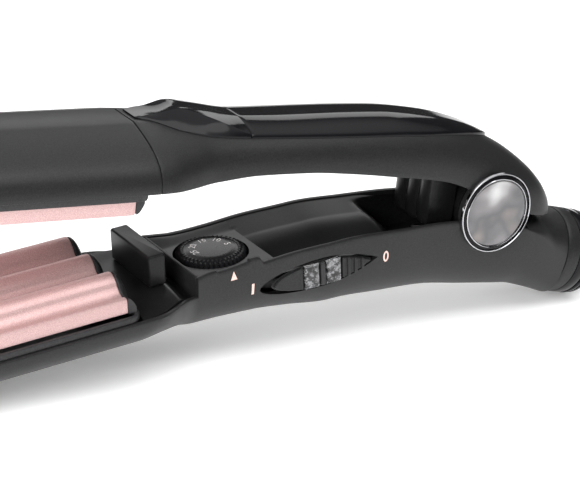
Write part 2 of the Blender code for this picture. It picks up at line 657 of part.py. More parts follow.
def upper_inner_cover(parent):
    """Lid under the upper handle, with the pocket that the guide block enters."""
    def low(x, y):
        return float(UPPER_TRACKS[1](x)) + 1.0
    xs = spread(SEAM_X + 1.0, -42.0, 14)
    width = lambda x: UPPER_TRACKS[0](x) - WALL - 1.0
    lid = add_object("upper_inner_cover", slab(xs, width, lambda x, y: low(x, y) + 1.8, low, 8),
                     parent, "inner_plastic")
    pocket = box((BLOCK_X - 5.0, BLOCK_X + 5.5), (-BLOCK_HALF_W - 1.5, BLOCK_HALF_W + 1.5), (10, 30))
    combine(lid, cutter("cut_guide_pocket", pocket, parent))


def hinge_knuckle(parent):
    """Barrel on the hinge pin with an arm that carries the upper shell."""
    barrel = prism(circle(0, 0, KNUCKLE_R, 40), -KNUCKLE_HALF_W, KNUCKLE_HALF_W, "Y")
    knuckle = add_object("hinge_knuckle", barrel, parent, "inner_plastic")
    arm = prism([(6.0, -10.6), (17.5, -11.2), (14.5, 2.0), (6.0, 6.0)], -8.5, 8.5, "Y")
    combine(knuckle, cutter("add_knuckle_arm", arm, parent), "UNION")
    bore = prism(circle(0, 0, PIN_R + GAP, 24), -30, 30, "Y")
    combine(knuckle, cutter("cut_knuckle_bore", bore, parent))


def spring_housing(parent):
    """Rounded box that hangs from the upper arm over the spring; open below."""
    left, right, low, high, corner = -22.8, -11.6, -7.0, 22.0, 5.0
    outline = [(high, left), (high, right), (low, right)]
    outline += [(low + corner * (1 - math.cos(a)), left + corner - corner * math.sin(a))
                for a in spread(0.0, math.pi / 2, 7)]
    housing = add_object("spring_housing", prism(outline, -10.5, 10.5, "Y"), parent, "casing")
    bevel(housing, 1.5, 2, 60)
    bore = moved(prism(circle(0, 0, SPRING_R + 1.5, 24), -20, 13, "Z"), SPRING_X)
    combine(housing, cutter("cut_spring_bore", bore, parent))


GLOSS_WIDTH = track([(-97.0, 14.3), (-60.0, 14.9), (-35.0, 14.2), (-20.0, 12.4), (-8.0, 9.0),
                     (0.0, 5.0), (4.0, 1.2)])


def gloss_panel(parent):
    """Thin glossy tongue along the back of the upper handle."""
    xs = spread(-96.6, -20.0, 12) + spread(-16.0, 4.0, 6)
    bm = slab(xs, GLOSS_WIDTH, lambda x, y: upper_surface(x, y) + 1.25,
              lambda x, y: upper_surface(x, y) + GAP, 12)
    add_object("gloss_panel", bm, parent, "gloss_black")


REST_X0, REST_X1 = -131.0, -97.0
REST_WIDTH = track([(REST_X0, 0.8), (-127.5, 6.6), (-120.0, 11.4), (-110.0, 13.6), (REST_X1, 14.3)])
REST_RIDGE = track([(REST_X0, 0.2), (-126.5, 0.3), (-123.5, 0.8), (-117.5, 3.2), (-112.0, 2.7),
                    (-106.0, 1.9), (-101.0, 1.0), (REST_X1, 0.4)])
REST_STEP = track([(REST_X0, 0.5), (-121.0, 0.6), (-112.0, 0.9), (REST_X1, 1.1)])


def thumb_rest(parent):
    """Faceted gloss wing ahead of the panel: a raised crease each side of a shallow saddle."""
    def top(x, y):
        k = min(abs(y) / REST_WIDTH(x), 1.0)
        rise = REST_RIDGE(x)
        saddle = 0.75 + 0.25 * min(k / 0.72, 1.0) ** 2
        edge = 1.0 if k < 0.72 else (1.0 - k) / 0.28
        return upper_surface(x, y) + REST_STEP(x) + rise * saddle * edge
    xs = spread(REST_X0, REST_X1, 15)
    bm = slab(xs, REST_WIDTH, top, lambda x, y: upper_surface(x, y) + GAP, 14)
    add_object("thumb_rest", bm, parent, "gloss_black", 20)


def spring(parent):
    """Compression spring that holds the arms open, upright in the resting tool."""
    turns, per_turn, sides = SPRING_TURNS, 14, 6
    height = SPRING_TOP - SPRING_BOTTOM
    loops = []
    for i in range(turns * per_turn + 1):
        a = 2 * math.pi * i / per_turn
        out = Vector((math.cos(a), math.sin(a), 0))
        at = out * SPRING_R + Vector((0, 0, SPRING_BOTTOM + height * i / (turns * per_turn)))
        ring = [at + (out * math.cos(b) + Vector((0, 0, math.sin(b)))) * SPRING_WIRE
                for b in (2 * math.pi * k / sides for k in range(sides))]
        loops.append([(p.x, p.y, p.z) for p in ring])
    coil = add_object("return_spring", ring_body(loops), parent, "steel")
    coil.location = Vector((SPRING_X, 0, 0)) * MM
    coil.rotation_euler = (0, math.radians(rest_plane()[0]), 0)
    return coil


# ---------------------------------------------------------------- assembly

def empty(name, parent=None):
    obj = bpy.data.objects.new(name, None)
    bpy.context.scene.collection.objects.link(obj)
    obj.parent = parent
    return obj


def build():
    clear_scene()
    slope, tip, _ = rest_plane()
    tool = empty("tool")
    tool.rotation_euler = (0, math.radians(-slope), 0)
    turn = Matrix.Rotation(math.radians(-slope), 4, "Y")
    contact = turn @ Vector((tip[0], 0, tip[1]))
    origin = turn @ Vector((tip[0] - 9.0, 0, tip[1]))
    tool.location = Vector((-origin.x, 0, -contact.z)) * MM

    lower_casing(tool)
    lower_inner_cover(tool)
    guide_deck(tool)
    plate = prism(plate_outline(0.0, PLATE_SKIN, LOWER_SKIRT), PLATE_X0, PLATE_X1)
    add_object("lower_plate", plate, tool, "rose_gold")
    rear, front = (PLATE_X1 + GAP, PLATE_X1 + END_LEN), (PLATE_X0 - GAP, PLATE_X0 - END_LEN)
    end_cap("lower_plate_end_rear", tool, *rear, -GAP, LOWER_SKIRT, END_LEAN)
    end_cap("lower_plate_end_front", tool, *front, -GAP, LOWER_SKIRT, END_LEAN)
    plate_frame("lower_plate_frame", tool, FRAME_TOP - 2.0, FRAME_TOP)
    heater_stack("lower", tool, VALLEY_Z - 2.0, False)
    for i, (x, z) in enumerate(HANDLE_SCREWS):
        handle_screw(f"handle_screw_{i + 1}", tool, x, z)
    electronics(tool)
    dial(tool)
    switch_slider(tool)
    hinge_pin_and_caps(tool)
    tail_swivel(tool)
    spring(tool)

    pivot = empty("upper_arm_pivot", tool)
    pivot.rotation_euler = (0, math.radians(OPEN_ANGLE), 0)
    upper_front_casing(pivot)
    upper_handle_shell(pivot)
    upper_inner_cover(pivot)
    hinge_knuckle(pivot)
    spring_housing(pivot)
    gloss_panel(pivot)
    thumb_rest(pivot)
    plate = prism(plate_outline(PLATE_GAP, -PLATE_SKIN, UPPER_SKIRT), PLATE_X0, PLATE_X1)
    add_object("upper_plate", plate, pivot, "rose_gold")
    end_cap("upper_plate_end_rear", pivot, *rear, PLATE_GAP + GAP, UPPER_END_TOP, -END_LEAN)
    end_cap("upper_plate_end_front", pivot, *front, PLATE_GAP + GAP, UPPER_END_TOP, -END_LEAN)
    plate_frame("upper_plate_frame", pivot, *UPPER_FRAME)
    heater_stack("upper", pivot, UPPER_FRAME[1], True)
    bpy.context.view_layer.update()


build()
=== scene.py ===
"""Looks for the hair crimper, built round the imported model.

Shapes are designed in millimetres in the arm frame of the CAD: origin on the hinge axis, +X towards
the cord end, -Y is the switch side, +Z up.  Lower pieces are placed by ARM, upper ones by OPEN.
"""
import json
import math

import bmesh
import bpy
import numpy as np
from mathutils import Matrix, Vector


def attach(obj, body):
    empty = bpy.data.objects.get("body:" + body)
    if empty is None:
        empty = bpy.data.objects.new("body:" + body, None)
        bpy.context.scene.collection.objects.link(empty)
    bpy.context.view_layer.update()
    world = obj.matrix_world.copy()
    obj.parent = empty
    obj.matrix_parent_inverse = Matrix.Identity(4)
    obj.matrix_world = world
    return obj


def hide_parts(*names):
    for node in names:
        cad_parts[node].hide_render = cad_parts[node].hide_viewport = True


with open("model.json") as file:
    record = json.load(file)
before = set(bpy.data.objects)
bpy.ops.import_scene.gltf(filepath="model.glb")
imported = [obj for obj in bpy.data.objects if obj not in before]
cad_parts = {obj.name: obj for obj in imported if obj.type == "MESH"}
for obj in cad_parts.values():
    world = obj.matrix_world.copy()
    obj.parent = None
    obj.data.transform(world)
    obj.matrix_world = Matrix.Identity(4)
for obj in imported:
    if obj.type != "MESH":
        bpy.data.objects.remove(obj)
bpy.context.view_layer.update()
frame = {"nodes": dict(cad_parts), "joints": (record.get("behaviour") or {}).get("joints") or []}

MM = 0.001
JOINTS = {joint["name"]: joint for joint in frame["joints"]}
PIVOT = Vector(JOINTS["arm_hinge"]["pos_m"])
DIAL_AXIS = Vector(JOINTS["dial_turn"]["axis"])
STAND_ANGLE = math.asin(-DIAL_AXIS.x)
OPEN_ANGLE = math.radians(10.5)
ARM = Matrix.Translation(PIVOT) @ Matrix.Rotation(-STAND_ANGLE, 4, "Y")
OPEN = ARM @ Matrix.Rotation(OPEN_ANGLE, 4, "Y")

# Driving dimensions of the arms (mm)
TIP_X, SEAM_X = -250.0, -135.0
CASE_HALF_W, CASE_RIM, CASE_BASE = 29.3, 2.5, -11.7
CASE_FRONT, CASE_CLOSES = -246.9, 12.0  # the tray is solid before the first, the handle after the second
UPPER_RIM, UPPER_TOP, UPPER_CLOSES = 18.7, 34.6, 24.0
WALL, LIP_R = 2.0, 0.5
HANDLE_X = -114.0
DECK_X0, DECK_X1, DECK_Z, DECK_THICK = -136.9, -114.4, 5.3, 1.6
BAY_X1, BAY_Z, COVER_INSET, COVER_THICK = -84.0, 4.4, 0.45, 1.5
PLATE_X0, PLATE_X1, PLATE_SKIN, PLATE_GAP = -241.0, -141.6, 1.6, 0.9
PLATE_HALF_W, CREST_Z, VALLEY_Z, FLANGE_Z, RIDGE_PITCH = 26.0, 15.3, 9.6, 10.4, 15.4
LOWER_SKIRT, UPPER_SKIRT = 5.6, 15.8
END_GAP, END_LEN, END_DROP, END_LEAN, END_FEET = 0.15, 3.0, 0.25, 3.4, (5.0, 20.4)
FRAME_X0, FRAME_X1, FRAME_HALF_W = -246.5, -137.3, 28.0
LOWER_FRAME, UPPER_FRAME = (2.8, 4.8), (16.3, 18.4)
DIAL_X, DIAL_R, DIAL_SLACK = -98.8, 11.6, 0.8
KNURLS, KNURL_STEPS, KNURL_DEPTH = 44, 8, 1.0
NUMBER_R, NUMBER_Z, NUMBER_SIZE, NUMBER_START, NUMBER_TURN = 5.9, 6.15, 3.1, -4, 47
SWITCH_X, SWITCH_Z, SWITCH_HALF_L, SWITCH_HALF_H = -69.1, -4.0, 22.0, 5.2
SLIDER_X, SLIDER_HALF_L, SLIDER_HALF_H, PAD_FACE = -67.9, 19.0, 4.5, -18.55
WINDOW_XS, WINDOW_ROOM = (-72.3, -64.1), 3.0
MARK_TRIANGLE, MARK_ON, MARK_OFF = (-100.9, 4.1), (-93.9, -2.7), (-43.7, -4.6)
PRINT_UP, PRINT_DOWN = 0.05, -0.2
BEZEL_BACK, CHEEK_R = 17.9, 13.5
HOUSING_X0, HOUSING_X1, HOUSING_HALF_W, HOUSING_TOP = -22.8, -11.7, 10.4, 21.9
SPRING_X, SPRING_ROOM = -17.1, 4.5
TAIL_X, TAIL_Z, TAIL_R, TAIL_TILT, CORD_BORE_R = 32.6, -28.8, 14.7, 21.0, 8.5
SCREW_SPOTS, SCREW_HOLE_R = ((-88.0, -13.0), (-34.0, -22.0)), 2.9
SHARP = 32.0


# ---------------- curves and sections

def spread(low, high, count):
    return [low + (high - low) * i / (count - 1) for i in range(count)]


def track(keys):
    """Smooth curve through (position, value) keys that never overshoots them."""
    xs = np.array([k[0] for k in keys], float)
    ys = np.array([k[1] for k in keys], float)
    step = np.diff(xs)
    slope = np.diff(ys) / step
    tangent = np.zeros(len(xs))
    for i in range(1, len(xs) - 1):
        if slope[i - 1] * slope[i] > 0:
            w1, w2 = 2 * step[i] + step[i - 1], step[i] + 2 * step[i - 1]
            tangent[i] = (w1 + w2) / (w1 / slope[i - 1] + w2 / slope[i])
    tangent[0], tangent[-1] = slope[0], slope[-1]

    def value(x):
        x = min(max(x, xs[0]), xs[-1])
        i = min(int(np.searchsorted(xs, x, side="right")) - 1, len(step) - 1)
        t = (x - xs[i]) / step[i]
        h00, h10 = (1 + 2 * t) * (1 - t) ** 2, t * (1 - t) ** 2
        h01, h11 = t * t * (3 - 2 * t), t * t * (t - 1)
        return (h00 * ys[i] + h10 * step[i] * tangent[i]
                + h01 * ys[i + 1] + h11 * step[i] * tangent[i + 1])
    return value


# Lower arm stations: x, z and tilt of the section centre, half-width, rim, base, flat, lift
LOWER = [
    (-250.0, 0, 0, 22.0, 2.3, -6.4, 6.0, 0.25),
    (-249.2, 0, 0, 24.9, 2.5, -8.6, 6.2, 0.25),
    (-247.0, 0, 0, 27.3, 2.5, -10.4, 6.6, 0.25),
    (-241.0, 0, 0, 29.0, 2.5, -11.5, 6.8, 0.25),
    (-230.0, 0, 0, CASE_HALF_W, CASE_RIM, CASE_BASE, 6.8, 0.25),
    (-138.0, 0, 0, CASE_HALF_W, CASE_RIM, CASE_BASE, 6.8, 0.25),
    (-130.0, 0, 0, 28.2, 3.4, -11.6, 6.0, 0.22),
    (-121.0, 0, 0, 23.6, 4.8, -12.5, 3.0, 0.14),
    (-114.1, 0, 0, 19.9, 5.5, -14.1, 1.0, 0.05),
    (-104.0, 0, 0, 19.2, 5.5, -14.6, 1.0, 0.03),
    (-91.0, 0, 0.3, 19.0, 5.6, -15.4, 1.0, 0.0),
    (-78.0, 0, 1, 19.0, 6.0, -17.4, 1.0, 0.0),
    (-60.0, 0, 3, 19.0, 5.5, -20.4, 1.0, 0.0),
    (-40.0, -2, 6, 18.7, 5.4, -20.6, 1.0, 0.0),
    (-20.0, -5, 10, 18.0, 5.8, -20.5, 1.0, 0.0),
    (-5.0, -10.5, 15, 17.7, 7.8, -19.1, 1.0, 0.0),
    (9.0, -16.8, 18.5, 17.5, 8.4, -16.6, 1.0, 0.0),
    (18.0, -21.5, 20, 17.0, 7.4, -14.6, 1.0, 0.0),
    (25.0, -25.0, 21, 16.0, 3.6, -14.4, 1.0, 0.0),
    (TAIL_X, TAIL_Z, TAIL_TILT, TAIL_R, 0.0, -TAIL_R, 1.0, 0.0),
]
LOWER_TRACKS = [track([(row[0], row[i]) for row in LOWER]) for i in range(1, len(LOWER[0]))]
LOWER_CROWN = track([(TIP_X, 0.1), (-5.0, 0.4), (9.0, 1.5), (18.0, 5.2), (25.0, 9.0), (TAIL_X, TAIL_R)])
# Height where the tray's edge runs, and below which the handle's side carries on from it
EDGE = track([(TIP_X, 2.5), (-138.0, 2.5), (-131.0, 2.2), (-121.0, 1.9), (-114.0, 0.5), (-100.0, 0.0),
              (-60.0, -2.0), (-20.0, -2.0), (9.0, -2.0), (25.0, -3.0), (TAIL_X, -5.0)])
# The near side of the handle stands up beside the dial, with a dip where a thumb turns it
NEAR_LIP = track([(-114.0, 1.5), (-108.0, 2.0), (-107.0, 2.0), (-106.3, 1.3), (-96.0, 1.7), (-95.2, 1.8),
                  (-94.4, 2.5), (-91.4, 2.4), (-89.6, 0.0), (-80.0, 0.0)])
FAR_LIP = track([(-114.0, 1.5), (-110.0, 1.0), (-104.0, 0.2), (-98.0, 0.0), (-80.0, 0.0)])

# Upper arm stations, closed: x, half-width, bottom rim, top, flat, lift
UPPER = [
    (-250.0, 22.0, UPPER_RIM + 0.3, 29.2, 5.4, 0.25),
    (-249.2, 24.9, UPPER_RIM, 31.2, 6.0, 0.25),
    (-247.0, 27.3, UPPER_RIM, 33.0, 6.6, 0.25),
    (-241.0, 29.0, UPPER_RIM, 34.3, 6.8, 0.25),
    (-230.0, 29.3, UPPER_RIM, UPPER_TOP, 6.8, 0.25),
    (-138.0, 29.3, UPPER_RIM, UPPER_TOP, 6.8, 0.25),
    (-130.0, 28.4, 18.5, 34.4, 6.2, 0.24),
    (-121.0, 25.0, 18.2, 33.9, 5.0, 0.20),
    (-110.0, 20.9, 18.2, 33.2, 4.0, 0.15),
    (-95.0, 19.1, 18.7, 32.6, 4.0, 0.10),
    (-76.0, 18.9, 18.4, 32.1, 4.0, 0.07),
    (-60.0, 18.9, 17.1, 32.0, 4.0, 0.07),
    (-42.0, 18.8, 14.9, 31.6, 4.0, 0.07),
    (-22.0, 18.2, 11.9, 29.4, 4.0, 0.07),
    (-8.0, 17.8, 7.0, 26.1, 3.5, 0.07),
    (5.0, 17.5, 1.2, 20.9, 3.0, 0.07),
    (14.0, 17.0, -2.0, 16.0, 2.5, 0.06),
    (21.0, 15.9, -3.6, 10.9, 2.0, 0.05),
    (25.8, 13.8, -4.6, 5.6, 1.5, 0.05),
    (28.6, 11.0, -5.2, 0.6, 1.0, 0.05),
    (29.6, 8.6, -5.6, -2.6, 1.0, 0.05),
]
UPPER_TRACKS = [track([(row[0], row[i]) for row in UPPER]) for i in range(1, len(UPPER[0]))]


def section_curve(w, rim, base, flat, lift, count=64):
    """Side of a bowl section from the edge of its flat base up to its rim, as arrays of y and height."""
    depth = rim - base
    boxy = 1.0 - min(max(flat - 1.0, 0.0), 5.0) / 5.0
    p0, p1 = (w, rim), (w, rim - depth * (0.58 + 0.17 * boxy))
    p2, p3 = (flat + (w - flat) * (0.64 + 0.11 * boxy), base + depth * lift), (flat, base)
    t = np.linspace(1.0, 0.0, count)
    weights = ((1 - t) ** 3, 3 * t * (1 - t) ** 2, 3 * t * t * (1 - t), t ** 3)
    return tuple(sum(k * p[i] for k, p in zip(weights, (p0, p1, p2, p3))) for i in (0, 1))


def sampled(ys, hs, first, last, count):
    """Evenly spaced points of a section curve between two of its fractional positions."""
    at = np.linspace(first, last, count)
    own = np.arange(len(ys))
    return list(zip(np.interp(at, own, ys), np.interp(at, own, hs)))


def lip_points(w, rim):
    """Rounded edge of a wall, from its outer side over to its inner side."""
    k = LIP_R * 0.3
    return [(w, rim - LIP_R), (w - k, rim - k), (w - LIP_R, rim),
            (w - WALL + LIP_R, rim), (w - WALL + k, rim - k), (w - WALL, rim - LIP_R)]


def loft(rings, closed=False):
    """Mesh through equal-length rings of (x, y, z) points in mm, capped or closed on itself."""
    bm = bmesh.new()
    loops = [[bm.verts.new(Vector(p) * MM) for p in ring] for ring in rings]
    count = len(loops[0])
    for a, b in zip(loops, loops[1:] + (loops[:1] if closed else [])):
        for i in range(count):
            j = (i + 1) % count
            bm.faces.new((a[i], a[j], b[j], b[i]))
    if not closed:
        bm.faces.new(loops[0][::-1])
        bm.faces.new(loops[-1])
    return bm


# ---------------- making pieces

LOOKS = {}


def linked(name, data):
    obj = bpy.data.objects.new(name, data)
    bpy.context.scene.collection.objects.link(obj)
    return obj


def add_piece(name, bm, place, body, look, replaces=(), sharp=SHARP, weld=2e-6):
    """Object made from a bmesh in frame `place`, riding on a body; slivers without area are dropped."""
    bmesh.ops.remove_doubles(bm, verts=bm.verts, dist=weld)
    flat = [f for f in bm.faces if f.calc_area() < 1e-13]
    bmesh.ops.delete(bm, geom=flat, context="FACES_ONLY")
    bmesh.ops.recalc_face_normals(bm, faces=bm.faces)
    mesh = bpy.data.meshes.new(name)
    bm.to_mesh(mesh)
    bm.free()
    mesh.transform(place)
    mesh.shade_smooth()
    mesh.set_sharp_from_angle(angle=math.radians(sharp))
    mesh.materials.append(LOOKS[look])
    piece = linked(name, mesh)
    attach(piece, body)
    if replaces:
        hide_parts(*replaces)
    return piece


def bake_modifiers(piece):
    """Turns the piece's modifiers into its own mesh."""
    graph = bpy.context.evaluated_depsgraph_get()
    mesh = bpy.data.meshes.new_from_object(piece.evaluated_get(graph))
    piece.modifiers.clear()
    old = piece.data
    piece.data = mesh
    mesh.name = piece.name
    bpy.data.meshes.remove(old)


def cut(piece, bm, place):
    """Takes a closed body, given in frame `place`, out of the piece."""
    bmesh.ops.recalc_face_normals(bm, faces=bm.faces)
    mesh = bpy.data.meshes.new("cutter")
    bm.to_mesh(mesh)
    bm.free()
    mesh.transform(place)
    tool = linked("cutter", mesh)
    mod = piece.modifiers.new("cut", "BOOLEAN")
    mod.operation, mod.solver, mod.object = "DIFFERENCE", "EXACT", tool
    bake_modifiers(piece)
    bpy.data.objects.remove(tool, do_unlink=True)
    piece.data.set_sharp_from_angle(angle=math.radians(SHARP))


def round_edges(piece, width):
    mod = piece.modifiers.new("edges", "BEVEL")
    mod.width, mod.segments, mod.limit_method = width * MM, 3, "ANGLE"
    mod.angle_limit = math.radians(35.0)
    mod.harden_normals = True
    bake_modifiers(piece)


def prism(points, low, high, axis):
    """Outline extruded along Y, from (z, x) points, or along Z, from (x, y) points."""
    if axis == "Y":
        return loft([[(x, y, z) for z, x in points] for y in (low, high)])
    return loft([[(x, y, z) for x, y in points] for z in (low, high)])


def circle(cx, cy, r, count=48):
    return [(cx + r * math.cos(2 * math.pi * i / count),
             cy + r * math.sin(2 * math.pi * i / count)) for i in range(count)]


def rounded_box(x, y, z, r, steps=4):
    """Box with its corners rounded in plan and its top and bottom edges rounded too."""
    def ring(inset, height):
        points = []
        for cx, cy, start in ((x[1], y[1], 0), (x[0], y[1], 90), (x[0], y[0], 180), (x[1], y[0], 270)):
            for k in range(steps + 1):
                a = math.radians(start + 90 * k / steps)
                sx, sy = (1 if cx == x[1] else -1), (1 if cy == y[1] else -1)
                points.append((cx - sx * r + (r - inset) * math.cos(a),
                               cy - sy * r + (r - inset) * math.sin(a), height))
        return points
    rings = []
    for k in range(steps + 1):
        a = math.pi / 2 * k / steps
        rings.append(ring(r * (1 - math.sin(a)) * 0.98, z[0] + r * (1 - math.cos(a))))
    for k in range(steps, -1, -1):
        a = math.pi / 2 * k / steps
        rings.append(ring(r * (1 - math.sin(a)) * 0.98, z[1] - r * (1 - math.cos(a))))
    return loft(rings)


def turned(profile, count=96):
    """Body turned about Z from (radius, height) points; a zero radius closes an end."""
    bm = bmesh.new()
    rings = []
    for r, h in profile:
        if r < 1e-6:
            rings.append([bm.verts.new((0, 0, h * MM))])
        else:
            rings.append([bm.verts.new((u * MM, v * MM, h * MM)) for u, v in circle(0, 0, r, count)])
    closed = rings + ([rings[0]] if len(rings[0]) > 1 and len(rings[-1]) > 1 else [])
    for a, b in zip(closed, closed[1:]):
        for i in range(count):
            j = (i + 1) % count
            if len(a) == 1:
                bm.faces.new((a[0], b[j], b[i]))
            elif len(b) == 1:
                bm.faces.new((a[i], a[j], b[0]))
            else:
                bm.faces.new((a[i], a[j], b[j], b[i]))
    return bm


def moved(bm, x=0.0, y=0.0, z=0.0, turn=None):
    matrix = Matrix.Translation(Vector((x, y, z)) * MM)
    if turn is not None:
        matrix = matrix @ Matrix.Rotation(math.radians(turn[0]), 4, turn[1])
    bmesh.ops.transform(bm, matrix=matrix, verts=bm.verts)
    return bm


def sheet(xs, half_width, top, thick, columns):
    """Closed slab of one thickness under `top(x, y)`, over |y| <= half_width(x)."""
    rings = []
    for x in xs:
        w = half_width(x)
        ys = [w * (2 * j / columns - 1) for j in range(columns + 1)]
        rings.append([(x, y, top(x, y)) for y in ys]
                     + [(x, y, top(x, y) - thick) for y in reversed(ys)])
    return loft(rings)


# ---------------- materials

def new_material(name, color, roughness, metallic=0.0, **sockets):
    """Material of one look; a further socket is given by its name with _ for each space."""
    mat = bpy.data.materials.new(name)
    mat.use_nodes = True
    shader = mat.node_tree.nodes["Principled BSDF"]
    shader.inputs["Base Color"].default_value = (*color, 1.0)
    shader.inputs["Roughness"].default_value = roughness
    shader.inputs["Metallic"].default_value = metallic
    for key, value in sockets.items():
        shader.inputs[key.replace("_", " ")].default_value = value
    LOOKS[name] = mat
    return mat.node_tree, shader


def noise(tree, scale, detail=3.0, rough=0.5, stretch=None):
    coord = tree.nodes.new("ShaderNodeTexCoord")
    node = tree.nodes.new("ShaderNodeTexNoise")
    node.inputs["Scale"].default_value = scale
    node.inputs["Detail"].default_value = detail
    node.inputs["Roughness"].default_value = rough
    source = coord.outputs["Object"]
    if stretch is not None:
        mapping = tree.nodes.new("ShaderNodeMapping")
        mapping.inputs["Scale"].default_value = stretch
        mapping.inputs["Rotation"].default_value = (0, STAND_ANGLE, 0)
        tree.links.new(source, mapping.inputs["Vector"])
        source = mapping.outputs["Vector"]
    tree.links.new(source, node.inputs["Vector"])
    return node.outputs["Fac"]


def ramp(tree, source, stops):
    node = tree.nodes.new("ShaderNodeValToRGB")
    bar = node.color_ramp
    while len(bar.elements) < len(stops):
        bar.elements.new(0.5)
    for element, (at, color) in zip(bar.elements, stops):
        element.position = at
        element.color = (*color, 1.0)
    tree.links.new(source, node.inputs["Fac"])
    return node.outputs["Color"]


def tint(tree, shader, source, stops):
    tree.links.new(ramp(tree, source, stops), shader.inputs["Base Color"])


def roughen(tree, shader, source, low, high):
    """Roughness between two values."""
    node = tree.nodes.new("ShaderNodeMapRange")
    node.inputs["To Min"].default_value = low
    node.inputs["To Max"].default_value = high
    tree.links.new(source, node.inputs["Value"])
    tree.links.new(node.outputs["Result"], shader.inputs["Roughness"])


def bump(tree, shader, source, strength, distance):
    node = tree.nodes.new("ShaderNodeBump")
    node.inputs["Strength"].default_value = strength
    node.inputs["Distance"].default_value = distance
    tree.links.new(source, node.inputs["Height"])
    tree.links.new(node.outputs["Normal"], shader.inputs["Normal"])


def moulded_plastic(name, dark, light, rough, grain=2600.0, grain_bump=0.25, specular=0.5):
    """Spark-textured moulding: fine grain, faint tone drift and a few rubbed, smoother patches."""
    tree, shader = new_material(name, light, rough, Specular_IOR_Level=specular)
    fine = noise(tree, grain, 2.0, 0.6)
    broad = noise(tree, 45.0, 3.0, 0.5)
    tint(tree, shader, fine, [(0.32, dark), (0.7, light)])
    roughen(tree, shader, broad, rough - 0.07, rough + 0.07)
    bump(tree, shader, fine, grain_bump, 0.00004)


def make_materials():
    moulded_plastic("charcoal", (0.009, 0.009, 0.0093), (0.021, 0.021, 0.0216), 0.40, specular=0.28)
    moulded_plastic("inner_dark", (0.004, 0.004, 0.004), (0.010, 0.010, 0.0105), 0.33, 1800.0, 0.18, 0.24)
    moulded_plastic("end_grey", (0.012, 0.012, 0.013), (0.027, 0.0265, 0.028), 0.36, 2200.0, 0.15, 0.34)

    tree, shader = new_material("piano_black", (0.006, 0.006, 0.007), 0.07, Specular_IOR_Level=0.16)
    wipe = noise(tree, 160.0, 4.0, 0.6, (1.0, 3.0, 3.0))
    roughen(tree, shader, wipe, 0.05, 0.13)
    peel = noise(tree, 700.0, 2.0, 0.5)
    bump(tree, shader, peel, 0.02, 0.00003)

    tree, shader = new_material("knob_black", (0.010, 0.010, 0.011), 0.2, Specular_IOR_Level=0.22)
    fine = noise(tree, 1500.0, 2.0, 0.6)
    roughen(tree, shader, fine, 0.20, 0.32)
    bump(tree, shader, fine, 0.06, 0.00003)

    tree, shader = new_material("rose_gold", (0.72, 0.50, 0.48), 0.44, 0.55)
    flake = noise(tree, 5200.0, 2.0, 0.7)
    drift = noise(tree, 60.0, 3.0, 0.5, (0.35, 1.0, 1.0))
    tint(tree, shader, flake, [(0.30, (0.44, 0.27, 0.26)), (0.52, (0.58, 0.39, 0.38)),
                               (0.74, (0.80, 0.60, 0.59))])
    roughen(tree, shader, drift, 0.40, 0.50)
    bump(tree, shader, flake, 0.10, 0.00003)

    tree, shader = new_material("chrome", (0.50, 0.50, 0.52), 0.07, 1.0)
    haze = noise(tree, 900.0, 3.0, 0.6)
    roughen(tree, shader, haze, 0.04, 0.12)

    tree, shader = new_material("pearl_and_reflection_disc", (0.36, 0.35, 0.36), 0.20, 0.75, Coat_Weight=1.0,
                                Coat_Roughness=0.04)
    # Painted reflection: broad clouds of light grey and near-black in the disc's colour stand in for
    # reflected bands; the reddish, orange and lilac patches are the disc's pearl tint.
    reflection_and_pearl_cloud = noise(tree, 52.0, 2.0, 0.45)
    tint(tree, shader, reflection_and_pearl_cloud, [(0.30, (0.52, 0.52, 0.52)), (0.40, (0.20, 0.19, 0.195)),
                               (0.50, (0.09, 0.09, 0.095)), (0.58, (0.22, 0.19, 0.18)),
                               (0.64, (0.40, 0.29, 0.24)), (0.72, (0.27, 0.24, 0.42))])
    spun = noise(tree, 1200.0, 2.0, 0.5)
    roughen(tree, shader, spun, 0.16, 0.26)

    tree, shader = new_material("clear_lens", (0.30, 0.30, 0.31), 0.05, Transmission_Weight=0.3, IOR=1.49)
    depth = noise(tree, 700.0, 3.0, 0.7)
    tint(tree, shader, depth, [(0.38, (0.012, 0.012, 0.012)), (0.5, (0.07, 0.07, 0.073)),
                               (0.62, (0.30, 0.30, 0.31))])
    bump(tree, shader, depth, 0.5, 0.0002)

    for name, color, low, high, rough, metal in (
            ("white_print", (0.85, 0.82, 0.81), (0.74, 0.70, 0.69), (0.95, 0.92, 0.91), 0.4, 0.0),
            ("rose_print", (0.80, 0.52, 0.46), (0.74, 0.47, 0.42), (0.92, 0.68, 0.62), 0.35, 0.4)):
        tree, shader = new_material(name, color, rough, metal)
        tint(tree, shader, noise(tree, 3000.0, 2.0, 0.6), [(0.3, low), (0.7, high)])

    for name, low, high, rough, metal in (
            ("steel", (0.42, 0.42, 0.43), (0.62, 0.62, 0.63), 0.28, 1.0),
            ("aluminium", (0.62, 0.63, 0.64), (0.78, 0.79, 0.80), 0.36, 1.0),
            ("ceramic", (0.70, 0.69, 0.66), (0.84, 0.83, 0.80), 0.55, 0.0),
            ("board_green", (0.015, 0.11, 0.04), (0.03, 0.20, 0.08), 0.40, 0.0),
            ("component", (0.02, 0.02, 0.02), (0.06, 0.06, 0.06), 0.45, 0.0)):
        tree, shader = new_material(name, high, rough, metal)
        grain = noise(tree, 900.0, 3.0, 0.6, (0.2, 1.0, 1.0))
        tint(tree, shader, grain, [(0.35, low), (0.65, high)])
        roughen(tree, shader, grain, rough - 0.06, rough + 0.08)
        bump(tree, shader, grain, 0.05, 0.00003)


make_materials()


# ---------------- lower arm

